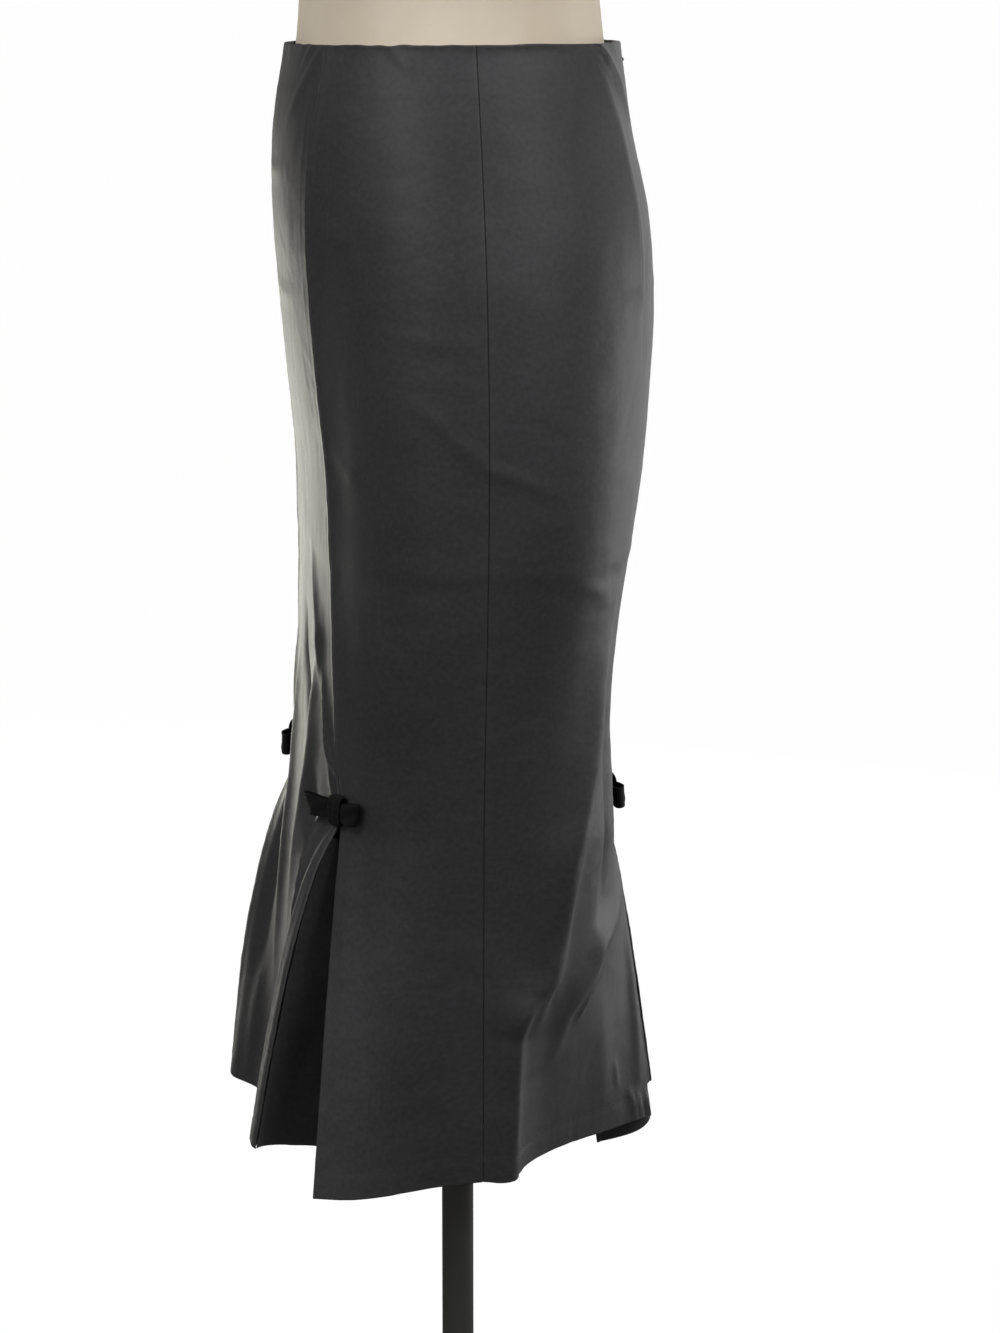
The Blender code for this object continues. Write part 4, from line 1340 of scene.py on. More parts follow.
    def seam_relief(self, distance: np.ndarray, z: np.ndarray, edge: int) -> np.ndarray:
        """A seam's rolled edge, its puckers and the pressed-open turning that shows beside it.

        Args:
            distance: How far the points lie from the seam.
            z: Their heights.
            edge: 1 for the panel's first edge, 2 for its last.

        Returns:
            The relief at each point.
        """
        pucker = ripple(z, 17 * MM, self.seed * 3 + edge) * hump(distance, 0.0, 5 * MM)
        ridge = hump(distance, self.allowance, 1.6 * MM)
        welt = hump(distance, 2.2 * MM, 1.6 * MM)
        return 0.13 * MM * pucker + 0.12 * MM * (ridge + welt) - self.turned_in(distance)

    def corner(self, distance: np.ndarray, z: np.ndarray) -> np.ndarray:
        """How the taut cloth breaks at a front seam: proud at it and flat beside it.

        Args:
            distance: How far the points lie from the seam.
            z: Their heights.

        Returns:
            The relief at each point.
        """
        if self.name.startswith("back"):
            return np.zeros(z.shape)
        foot, softer_from = FORM.front_pleat_top + 4 * MM, 0.880
        here = eased((z - foot) / (50 * MM)) * (1 - 0.45 * eased((z - softer_from) / (110 * MM)))
        if self.pleats is Side.BOTH:
            return self.corner_proud * here * np.exp(-distance / (20 * MM))
        flat = distance / (24 * MM)
        return self.corner_proud * here * (np.exp(-distance / (8.5 * MM)) - 0.85 * flat * np.exp(1 - flat))

    def turned_in(self, distance: np.ndarray) -> np.ndarray:
        """How far a turned edge curls inwards.

        Args:
            distance: How far the points lie from the edge.

        Returns:
            The depth at each point.
        """
        radius = self.turn_radius
        inside = np.clip(radius - distance, 0.0, radius)
        return radius - np.sqrt(np.maximum(radius**2 - inside**2, 0.0))

    def waist_relief(self) -> np.ndarray:
        """The waist's turned edge, its uneven lie and the facing's edge showing through.

        Returns:
            The relief at each point.
        """
        s = self.from_middle
        facing = hump(self.from_top, self.facing_depth, 1.8 * MM)
        facing = facing * (1 + 0.5 * ripple(s, 50 * MM, self.seed + 2))
        held = hump(self.from_top, 0.0, 9 * MM) * ripple(s, 45 * MM, self.seed + 4)
        return 0.14 * MM * facing + 0.30 * MM * held - self.turned_in(self.from_top)

    def hem_relief(self) -> np.ndarray:
        """The hem's turned edge, the ridge of its turning and a dimple at its stitched line.

        Returns:
            The relief at each point.
        """
        s = self.from_middle
        doubled = eased((self.hem_depth - self.from_hem) / (3 * MM))
        stitched = hump(self.from_hem, self.hem_depth, 1 * MM) * (1 + 0.4 * ripple(s, 12 * MM, self.seed + 6))
        wavy = ripple(s, 30 * MM, self.seed + 8) * hump(self.from_hem, 0.0, 14 * MM)
        return 0.18 * MM * doubled - 0.22 * MM * stitched + 0.20 * MM * wavy - self.turned_in(self.from_hem)

    def dart_relief(self, z: np.ndarray) -> np.ndarray:
        """The dart: the cloth breaks along it, with a fine sewn groove and a pucker at its tip.

        Args:
            z: The points' heights.

        Returns:
            The relief at each point.
        """
        broad, narrow, groove_mm, groove_flank = 26.0, 14.0, 0.45, 0.9
        line = tuple(CreasePoint(*at, rise) for at, rise in zip(self.dart, DART_PROUD_MM))
        flanks = (broad, narrow) if self.dart[-1][0] > self.dart[0][0] else (narrow, broad)
        bend = Crease(line, *flanks, crisp=1.0).lift(self.from_middle, z, self.width_at)
        sewn = tuple(CreasePoint(*at, -groove_mm) for at in self.dart)
        groove = Crease(sewn, groove_flank, groove_flank, 2.0).lift(self.from_middle, z, self.width_at)
        tip_across, tip_z = self.dart[-1]
        tip_x = (tip_across - 0.5) * self.width_at(tip_z)
        away = np.hypot(self.from_middle - tip_x, (z - tip_z + 4 * MM) * 0.6)
        return bend + groove + 0.45 * MM * hump(away, 0.0, 6 * MM)

    def crumple(self) -> None:
        """Lay the relief on the smooth form."""
        self.surface = self.base + normals_of(self.base) * self.relief()[..., None]

    def edge_line(self, last: bool) -> np.ndarray:
        """The panel's first or last edge, from its foot up."""
        return self.surface[::-1, -1 if last else 0].copy()

    def meet(self, other: np.ndarray, last: bool, foot: float) -> None:
        """Bring an edge to lie half way to its neighbour's edge, so that no gap is left at the seam.

        Args:
            other: The neighbour's edge, from its foot up.
            last: Whether it is this panel's last edge.
            foot: The height below which the seam is open.
        """
        column = -1 if last else 0
        edge = self.surface[:, column]
        z = edge[:, 2]
        beside = np.stack([np.interp(z, other[:, 2], other[:, k]) for k in range(2)] + [z], axis=1)
        share = eased((z - foot) / (12 * MM))[:, None] if foot > 0 else 1.0
        move = (beside - edge) / 2 * share
        distance = (1 - self.across if last else self.across) * self.width
        self.surface = self.surface + move[:, None, :] * np.exp(-((distance / (3.5 * MM)) ** 2))[..., None]

    def build(self) -> Object:
        """Make the panel.

        Returns:
            The panel, a thin shell of cloth.
        """
        self.outward = normals_of(self.surface)
        flat = np.stack([np.broadcast_to(self.from_middle, self.from_top.shape), -self.from_top], axis=2)
        # edges, waist and hem painted paler: pressing wear and painted sheen
        edge = np.minimum(np.minimum(self.across * self.width, (1 - self.across) * self.width), self.from_top)
        pressed_wear_and_sheen = np.exp(-np.minimum(edge, self.from_hem) / WEAR_AND_SHEEN_REACH)
        item = surface_from_grid(f"{self.name}_cloth", self.surface, flat, pressed_wear_and_sheen)
        add_modifier(item, "SOLIDIFY", thickness=self.cloth, offset=-1.0, use_even_offset=False)
        smooth_shade(item, CLOTH_ANGLE)
        return stand_for(item, self.name)

    def declare(self, item: Object, stitching: Object) -> None:
        """Take the panel and its stitches, and do nothing with them.

        Args:
            item: The panel; not used.
            stitching: Its hem's stitches; not used.
        """

    def at_stitches(self, points: np.ndarray) -> np.ndarray:
        """Read what is known at the panel's points along the hem's stitched line."""
        climbs, columns = self.from_hem[::-1].T, points[::-1].transpose(1, 0, 2)
        return np.array([read_line(column, climb, self.hem_depth) for column, climb in zip(columns, climbs)])

    def stitches(self) -> Object:
        """Sew the hem: small sunk stitches in a row, one pattern copied along it.

        Returns:
            The stitches.
        """
        pitch, length, thick, proud = 3.4 * MM, 1.9 * MM, 0.42 * MM, 0.05 * MM
        margin, stray = 2 * MM, 0.25 * MM
        line, outs = self.at_stitches(self.surface), self.at_stitches(self.outward)
        reached = reached_along(line)
        places = []
        for k in range(int((reached[-1] - 2 * margin) / pitch)):
            target = margin + (k + 0.5) * pitch + stray * math.sin(2.4 * k + self.seed)
            at = Vector(read_line(line, reached, target))
            run = (Vector(read_line(line, reached, target + length)) - at).normalized()
            out = Vector(read_line(outs, reached, target)).normalized()
            turn = Matrix((run, out.cross(run).normalized(), out)).transposed().to_4x4()
            places.append(Matrix.Translation(at + out * proud) @ turn)
        deselect_all()
        bpy.ops.mesh.primitive_uv_sphere_add(segments=6, ring_count=5, radius=0.5)
        pattern = named("stitch")
        pattern.rotation_euler = (0.0, QUARTER, 0.0)
        pattern.scale = (thick, thick, length)
        settle(pattern)
        made = many_copies(f"{self.name}_hem_stitches", pattern, places)
        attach(made, SKIRT_BODY)
        return made


def skirt_panels() -> list[SkirtPanel]:
    """Set up the five panels in order round the form.

    Returns:
        The panels, each running left to right seen from outside.
    """
    front, back, turn = FORM.front_pleat_top, FORM.back_pleat_top, math.pi
    mirrored_dart = tuple((1 - across, z) for across, z in DART)

    def straight(angle: float) -> Callable[[np.ndarray], np.ndarray]:
        """A seam at one angle at every height."""
        return lambda z: np.full(np.shape(z), angle)

    return [
        SkirtPanel("front_panel", lambda z: -turn - FORM.front_seam(z), FORM.front_seam, FRONT_HEM,
                   FRONT_CREASES, front, front, Side.BOTH, 1, crease_strength=2.3, sunk=1.6 * MM),
        SkirtPanel("side_front_left", FORM.front_seam, straight(0.0), LEFT_SIDE_HEM,
                   LEFT_SIDE_CREASES, front, front, Side.FIRST, 2),
        SkirtPanel("back_left", straight(0.0), straight(turn / 2), LEFT_BACK_HEM,
                   LEFT_BACK_CREASES, front, back, Side.LAST, 3, DART, crease_strength=2.3),
        SkirtPanel("back_right", straight(turn / 2), straight(turn), RIGHT_BACK_HEM,
                   RIGHT_BACK_CREASES, back, front, Side.FIRST, 4, mirrored_dart),
        SkirtPanel("side_front_right", straight(turn), lambda z: turn - FORM.front_seam(z), RIGHT_SIDE_HEM,
                   RIGHT_SIDE_CREASES, front, front, Side.LAST, 5),
    ]


def close_seams(panels: Sequence[SkirtPanel]) -> None:
    """Shape the panels and bring their neighbouring edges together.

    Args:
        panels: All panels, in order round the form.
    """
    for panel in panels:
        panel.shape()
        panel.crumple()
    edges = [(panel.edge_line(False), panel.edge_line(True)) for panel in panels]
    for i, panel in enumerate(panels):
        following = (i + 1) % len(panels)
        open_last = panel.last_pleat if panel.pleats in (Side.LAST, Side.BOTH) else 0.0
        open_first = panel.first_pleat if panel.pleats in (Side.FIRST, Side.BOTH) else 0.0
        panel.meet(edges[following][0], True, open_last)
        panel.meet(edges[i - 1][1], False, open_first)


@dataclass
class PleatInlay:
    """The cloth set in behind an opening, which laps its two panels and folds inwards.

    Attributes:
        name: The inlay's name, which is also its solid's.
        before: The panel that it laps first.
        after: The panel that it laps last.
        top: Its inner fold just under the bow, seen from above.
        foot: Its inner fold at the hem, seen from above.
        foot_z: The fold's height at the hem.
        seed: Which unevenness it has.
    """

    name: str
    before: SkirtPanel
    after: SkirtPanel
    top: tuple[float, float]
    foot: tuple[float, float]
    foot_z: float
    seed: int
    rows: int = 84
    lap_width: float = 7 * MM
    lap_in: float = 2.0 * MM
    fold_half: float = 3.0 * MM
    cloth: float = 0.9 * MM
    starts_at: float = 0.03
    sag: float = 11 * MM
    waver: float = 1.1 * MM
    wall_columns: int = 20

    def edge(self, panel: SkirtPanel, last: bool) -> tuple[np.ndarray, np.ndarray]:
        """Read a panel's pleat edge below its opening.

        Args:
            panel: The panel.
            last: Whether it is the panel's last edge.

        Returns:
            The edge, and the same line a lap's width further in.
        """
        pleat = panel.last_pleat if last else panel.first_pleat
        grid = panel.base if last else panel.base[:, ::-1]
        inside = (1 - panel.across if last else panel.across[::-1]) * panel.width.mean()
        line = grid[:, -1]
        foot = line[-1, 2]
        heights = pleat + (foot - pleat) * np.linspace(self.starts_at, 1.0, self.rows)

        def read(points: np.ndarray) -> np.ndarray:
            """Read a column of points at the heights.

            Args:
                points: The column, from its top down.

            Returns:
                The points at the heights, moved with the column's own foot.
            """
            order = points[::-1]
            scale = (heights - foot) / (pleat - foot)
            z = order[0, 2] + (np.interp(pleat, line[::-1, 2], order[:, 2]) - order[0, 2]) * scale
            return np.column_stack([read_line(order[:, :2], order[:, 2], z), z])

        return read(line), read(grid[:, int(np.argmin(np.abs(inside - self.lap_width)))])

    def lapped(self, edge: np.ndarray, inner: np.ndarray, clockwise: bool) -> tuple[np.ndarray, np.ndarray]:
        """Move an edge and its inner line behind their panel.

        Args:
            edge: The edge.
            inner: The line a lap's width further in.
            clockwise: Whether the edge is its panel's last.

        Returns:
            The moved edge and the moved inner line.
        """
        run = (edge - inner) if clockwise else (inner - edge)
        run = run[:, :2] / np.linalg.norm(run[:, :2], axis=1, keepdims=True)
        inward = np.stack([-run[:, 1], run[:, 0], np.zeros(len(run))], axis=1) * self.lap_in
        return edge + inward, inner + inward

    def folded(self) -> np.ndarray:
        """Fold the inlay: a lap, a wall that sags, a rounded fold, a straight wall and a lap.

        Returns:
            Its points by row, top row first, and by column.
        """
        start, lap_out = self.lapped(*self.edge(self.before, True), True)
        end, lap_back = self.lapped(*self.edge(self.after, False), False)
        share = np.linspace(self.starts_at, 1.0, self.rows)[:, None]
        top = np.array([*self.top, (start[0, 2] + end[0, 2]) / 2])
        fold = top + (np.array([*self.foot, self.foot_z]) - top) * share
        half = (end - start) / np.linalg.norm(end - start, axis=1, keepdims=True) * self.fold_half * share
        inward = fold - (start + end) / 2
        inward /= np.linalg.norm(inward, axis=1, keepdims=True)
        hang = np.stack([-inward[:, 1], inward[:, 0], np.zeros(len(inward))], axis=1) * self.sag * share
        walls = np.linspace(0.0, 1.0, self.wall_columns)
        columns = [lap_out + (start - lap_out) * f for f in (0.0, 0.35, 0.7)]
        columns += [start + (fold - half - start) * f + hang * math.sin(math.pi * f**0.85) for f in walls]
        for angle in np.linspace(math.pi, 0.0, 9)[1:-1]:
            bulge = inward * math.sin(angle) * self.fold_half * share * 0.8
            columns.append(fold + half * math.cos(angle) + bulge)
        columns += [fold + half + (end - fold - half) * f for f in walls]
        columns += [end + (lap_back - end) * f for f in (0.3, 0.65, 1.0)]
        return np.stack(columns, axis=1)

    def build(self) -> Object:
        """Returns:
            The inlay, a thin shell of cloth.
        """
        grid = self.folded()
        across = reached_along(grid[-1])
        across /= across[-1]
        widths = np.linalg.norm(np.diff(grid, axis=1), axis=2).sum(axis=1)
        from_middle = (across - 0.5) * widths[:, None]
        steps = np.linalg.norm(np.diff(grid, axis=0), axis=2)
        drops = np.vstack([np.zeros(grid.shape[1]), np.cumsum(steps, axis=0)])
        share = np.linspace(self.starts_at, 1.0, self.rows)[:, None]
        free = eased(share / 0.5) * np.sin(np.pi * np.clip(across, 0, 1)) ** 0.5
        relief = self.waver * uneven(from_middle, grid[:, :, 2], 90 * MM, self.seed) * free
        surface = grid + normals_of(grid) * relief[..., None]
        flat = np.stack([from_middle, -drops], axis=2)
        # hem painted paler: pressing wear and painted sheen
        pressed_wear_and_sheen = np.exp(-(drops[-1] - drops) / WEAR_AND_SHEEN_REACH)
        item = surface_from_grid(f"{self.name}_cloth", surface, flat, pressed_wear_and_sheen)
        add_modifier(item, "SOLIDIFY", thickness=self.cloth, offset=-1.0, use_even_offset=False)
        smooth_shade(item, CLOTH_ANGLE)
        stand_for(item, self.name)
        wide, long = float(np.ptp(from_middle, axis=1).max()), float(drops[-1].mean())
        area = float((np.ptp(from_middle, axis=1)[:-1] * np.diff(drops.mean(axis=1))).sum())
        area = max(min(area, wide * long), 0.3 * wide * long)
        log.info("%s: cut %.0f x %.0f mm, %.0f cm2", self.name, wide / MM, long / MM, area * 1e4)
        return item


# ---- bows


@dataclass
class Bow:
    """A small bow of ribbon tacked over the head of a pleat.

    Attributes:
        name: Which bow, as its solids are named.
        z: The height of its knot.
        seam_angle: Where round the form its seam runs.
        shift: How far past the seam the knot lies.
        slant: How much it rises along the skirt.
        first_loop: The length of its first loop against the plain one.
        last_loop: The same for its last loop.
        puff: How far the loops stand out against the plain ones.
        lifts: How far the first loop's end lifts off the cloth.
        cut: How far the loops' ends lean, top against foot.
    """

    name: str
    z: float
    seam_angle: float
    shift: float
    slant: float
    first_loop: float
    last_loop: float
    puff: float
    cut: float = 0.0
    lifts: float = 0.0
    ribbon: float = 0.8 * MM
    knot_half_width: float = 5.0 * MM
    knot_half_height: float = 8.8 * MM
    knot_back: float = 1.2 * MM
    knot_front: float = 5.8 * MM
    half: tuple[tuple[float, float, float], ...] = (
        (0.0050, 0.0020, 0.0050),
        (0.0130, 0.0018, 0.0058),
        (0.0220, 0.0022, 0.0065),
        (0.0272, 0.0028, 0.0068),
        (0.0286, 0.0043, 0.0069),
        (0.0268, 0.0059, 0.0068),
        (0.0210, 0.0068, 0.0066),
        (0.0120, 0.0060, 0.0058),
        (0.0050, 0.0044, 0.0050),
    )

    def frame(self) -> Callable[[np.ndarray, np.ndarray, np.ndarray], np.ndarray]:
        """Lay out the cloth under the bow.

        Returns:
            A function from (along, out, rise) at the bow to a place.
        """
        spread, count = 0.45, 181
        line = FORM.place(np.full(count, self.z), self.seam_angle + np.linspace(-spread, spread, count))
        reached = reached_along(line)
        middle = reached[count // 2] + self.shift
        ends = np.array([self.z - self.knot_half_height, self.z + self.knot_half_height])
        lean = np.diff(FORM.place(ends, np.full(2, self.seam_angle)), axis=0)[0]
        up = lean / np.linalg.norm(lean)
        squares = np.cross(np.gradient(line, axis=0), up)
        squares /= np.linalg.norm(squares, axis=1, keepdims=True)

        def place(along: np.ndarray, out: np.ndarray, rise: np.ndarray) -> np.ndarray:
            """Find points at the bow.

            Args:
                along: How far they lie along the cloth from the knot's middle.
                out: How far they stand out of it.
                rise: How far they lie above the middle.

            Returns:
                The points.
            """
            along, out, rise = np.broadcast_arrays(along, out, rise)
            at, square = (read_line(known, reached, middle + along) for known in (line, squares))
            return at + square * out[..., None] + up * (rise + self.slant * along)[..., None]

        return place

    def half_line(self, side: int) -> np.ndarray:
        """Draw one loop's line from behind the knot to in front of it.

        Args:
            side: 1 for the last loop, -1 for the first.

        Returns:
            Its points: along, out, and half the ribbon's width there.
        """
        rows = np.array(self.half)
        length = self.last_loop if side > 0 else self.first_loop
        root = rows[0, 0]
        rows[:, 0] = side * (root + (rows[:, 0] - root) * length)
        rows[:, 1] = self.ribbon + (rows[:, 1] - self.ribbon) * self.puff
        return smooth_through(rows, 5)

    def finished(self, item: Object, offset: float, node: str) -> Object:
        """Give a piece of ribbon its thickness and its eased edges.

        Args:
            item: The piece, an open surface.
            offset: To which side of it the ribbon grows.
            node: The solid that it replaces.

        Returns:
            The same piece.
        """
        outward_normals(item)
        add_modifier(item, "SOLIDIFY", thickness=self.ribbon, offset=offset, use_even_offset=True)
        ease_edges(item, 0.2 * MM, 2, 60)
        smooth_shade(item, 50.0)
        return stand_for(item, node)

    def loops(self) -> Object:
        """Make the two loops, one closed band of ribbon pinched at its middle.

        Returns:
            The loops.
        """
        half, root = np.array(self.half), self.half[0][0]
        line = np.vstack([self.half_line(1), self.half_line(-1)[::-1]])
        line = np.vstack([line, line[:1]])
        rows = np.linspace(-1.0, 1.0, 11)[:, None]
        reach = np.clip((np.abs(line[:, 0]) - root) / (half[:, 0].max() - root), 0.0, 1.2)
        along = line[:, 0] - np.sign(line[:, 0]) * self.cut * rows * reach
        buckle = 0.35 * MM * np.sin(rows * 4.0 + line[:, 0] * 260) * (reach < 0.75)
        out = np.maximum(line[:, 1] + buckle * (line[:, 1] > 3.2 * MM), 1.0 * MM)
        out = out + self.lifts * reach * (line[:, 0] < 0) * (1 - 0.45 * rows)
        places = self.frame()(along, out, -rows * line[:, 2])
        flat = np.stack(np.broadcast_arrays(reached_along(line[:, :2]), rows * 7 * MM), axis=2)
        item = surface_from_grid(f"bow_{self.name}_ribbon", places, flat)
        return self.finished(item, 0.0, f"bow_{self.name}")

    def knot(self) -> Object:
        """Make the band wound round the middle, with a soft fold along its face.

        Returns:
            The band.
        """
        front = self.ribbon + (self.knot_front - self.ribbon) * self.puff
        middle, reach = (self.knot_back + front) / 2, (front - self.knot_back) / 2
        angle = np.linspace(0.0, 2 * math.pi, 49)
        side = np.linspace(-1.0, 1.0, 13)[:, None]
        pinch = 1 - 0.10 * np.abs(side) ** 4
        c, s = np.cos(angle), np.sin(angle)
        out = reach * np.sign(c) * np.abs(c) ** 0.55 * np.where(c > 0, pinch, 1.0)
        fold = 0.30 * MM * hump(side, 0.25, 0.16) - 0.25 * MM * hump(side, -0.2, 0.2)
        out = out + fold * np.clip(c, 0, 1)
        rise = self.knot_half_height * np.sign(s) * np.abs(s) ** 0.75 * pinch
        along = side * self.knot_half_width + 0 * out
        places = self.frame()(along, middle + out, rise)
        flat = np.stack([angle * 5 * MM + 0 * out, along], axis=2)
        item = surface_from_grid(f"knot_{self.name}_ribbon", places, flat)
        return self.finished(item, 1.0, f"knot_{self.name}")


def skirt_bows() -> list[Bow]:
    """Set up the bows.

    Returns:
        The three bows, each with its own lie.
    """
    front, other = 0.5525, 0.5570
    left = float(FORM.front_seam(np.array(front)))
    right = -math.pi - float(FORM.front_seam(np.array(other)))
    return [
        Bow("front_left", front, left, 2.6 * MM, 0.050, 1.10, 0.66, 1.10, 1.8 * MM,
            lifts=3.0 * MM, knot_half_width=6.4 * MM),
        Bow("front_right", other, right, 0.0, -0.030, 0.90, 1.00, 1.25, 1.0 * MM),
        Bow("back", 0.5355, math.pi / 2, 0.0, 0.000, 1.00, 0.95, 1.45, 1.0 * MM),
    ]


# ---- zip


@dataclass
class BackZip:
    """The zip in the centre back seam: two rows of coil, a slider near the top, and its pull."""

    top_z: float = 1.000
    slider_below_top: float = 12.0 * MM
    coil_pitch: float = 1.5 * MM
    slider_size: tuple[float, float, float] = (5.0 * MM, 1.6 * MM, 8.5 * MM)
    pin_out: float = 1.9 * MM
    gap: float = 0.3 * MM
    pull_length: float = 17.0 * MM
    pull_half_width: float = 2.7 * MM
    pull_thick: float = 1.0 * MM
    barrel_radius: float = 1.3 * MM
    barrel_bore: float = 0.8 * MM

    def back_frame(self, z: float, rise: float = 4.25 * MM) -> Matrix:
        """Find the skirt's lie at the centre back.

        Args:
            z: The height.
            rise: How far up the slope is measured.

        Returns:
            A turn and place: across the skirt, out of it and up it.
        """
        at, above = (Vector(FORM.place(np.array(h), np.array(QUARTER))) for h in (z, z + rise))
        across = Vector((1.0, 0.0, 0.0))
        up = (above - at).normalized()
        turn = Matrix((across, up.cross(across), up)).transposed().to_4x4()
        return Matrix.Translation(at) @ turn

    def coil(self) -> Object:
        """Make the closed chain: small loops of coil on the left and right by turns.

        Returns:
            The chain.
        """
        deselect_all()
        bpy.ops.mesh.primitive_uv_sphere_add(segments=8, ring_count=5, radius=0.5)
        pattern = named("coil_loop")
        pattern.scale = (0.95 * MM, 1.1 * MM, 0.95 * MM)
        settle(pattern)
        low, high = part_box("zip_chain")
        places = []
        step, margin, aside, sunk = self.coil_pitch / 2, 1 * MM, 0.22 * MM, 0.75 * MM
        for k in range(int((high.z - low.z - 2 * margin) / step)):
            side = aside if k % 2 else -aside
            shift = Matrix.Translation((side, -sunk, 0.0))
            places.append(self.back_frame(low.z + margin + k * step) @ shift)
        return stand_for(many_copies("zip_coil_chain", pattern, places), "zip_chain")

    def slider(self) -> Object:
        """Make the slider: a waisted body with a crown of two lugs and a pin.

        Returns:
            The slider.
        """
        wide, thick, long = self.slider_size
        face = self.gap + thick
        deselect_all()
        bpy.ops.mesh.primitive_cube_add(size=1.0, location=(0.0, self.gap + thick / 2, 0.0))
        body = named("slider_body")
        body.scale = (wide, thick, long)
        edit_whole(settle(body))
        bpy.ops.mesh.subdivide(number_cuts=3)
        bpy.ops.object.mode_set(mode="OBJECT")
        for corner in body.data.vertices:
            height = corner.co.z / (long / 2)
            corner.co.x *= 0.80 + 0.20 * max(0.0, height) ** 0.7 if height > 0 else 0.80 - 0.05 * height
        parts = [body]
        lug_x = self.barrel_radius + self.gap + 0.4 * MM
        for side in (-1, 1):
            deselect_all()
            bpy.ops.mesh.primitive_cube_add(size=1.0, location=(side * lug_x, face + self.pin_out / 2, 0.0))
            lug = named("slider_lug")
            lug.scale = (0.8 * MM, self.pin_out + 1.0 * MM, 2.6 * MM)
            parts.append(settle(lug))
        deselect_all()
        bpy.ops.mesh.primitive_cylinder_add(
            vertices=24, radius=0.5 * MM, depth=2 * lug_x, location=(0.0, face + self.pin_out, 0.0),
            rotation=(0.0, QUARTER, 0.0),
        )
        parts.append(settle(named("slider_pin")))
        item = join(parts, "zip_slider_metal")
        ease_edges(item, 0.22 * MM, 3, 40)
        item.matrix_world = self.back_frame(self.top_z - self.slider_below_top)
        smooth_shade(settle(item))
        return stand_for(item, "zip_slider")

    def pull(self) -> Object:
        """Make the pull: a bored barrel on the pin and a round-ended drop with a raised rim.

        Returns:
            The pull.
        """
        ends = []
        for radius, share in ((self.barrel_radius, 2), (self.barrel_bore, 6)):
            deselect_all()
            bpy.ops.mesh.primitive_cylinder_add(
                vertices=32, radius=radius, depth=share * self.barrel_radius, rotation=(0.0, QUARTER, 0.0)
            )
            ends.append(settle(named("pull_barrel")))
        barrel, bore = ends
        add_modifier(barrel, "BOOLEAN", operation="DIFFERENCE", object=bore)
        bpy.data.objects.remove(bore, do_unlink=True)

        wide, drop = self.pull_half_width, self.pull_length
        deselect_all()
        bpy.ops.mesh.primitive_cylinder_add(
            vertices=40, radius=wide, depth=self.pull_thick, location=(0.0, 0.0, -drop + wide),
            rotation=(QUARTER, 0.0, 0.0),
        )
        plate = settle(named("pull_plate"))
        neck, top = 1.1 * MM, -1.05 * MM
        centre = -drop + wide
        for corner in plate.data.vertices:
            rise = corner.co.z - centre
            if rise > 0:
                share = min(1.0, rise / wide)
                corner.co.z = centre + (top - centre) * share
                side = math.copysign(neck + (wide - neck) * (1 - share) ** 0.8, corner.co.x)
                corner.co.x = side if abs(corner.co.x) > 1e-7 else 0.0
        bpy.ops.object.mode_set(mode="EDIT")
        bpy.ops.mesh.select_all(action="DESELECT")
        bpy.ops.object.mode_set(mode="OBJECT")
        for face in plate.data.polygons:
            face.select = face.normal.y > 0.9 or face.normal.y < -0.9
        bpy.ops.object.mode_set(mode="EDIT")
        bpy.ops.mesh.select_mode(type="FACE")
        bpy.ops.mesh.inset(thickness=0.55 * MM, depth=0.0, use_individual=True)
        bpy.ops.mesh.inset(thickness=0.15 * MM, depth=-0.18 * MM, use_individual=True)
        bpy.ops.object.mode_set(mode="OBJECT")
        item = join([barrel, plate], "zip_pull_metal")
        ease_edges(item, 0.12 * MM, 2, 50)
        pin = Vector((0.0, self.gap + self.slider_size[1] + self.pin_out, 0.0))
        item.matrix_world = self.back_frame(self.top_z - self.slider_below_top) @ Matrix.Translation(pin)
        smooth_shade(settle(item))
        return stand_for(item, "zip_pull", PULL_BODY)


# ---- dress form and stand


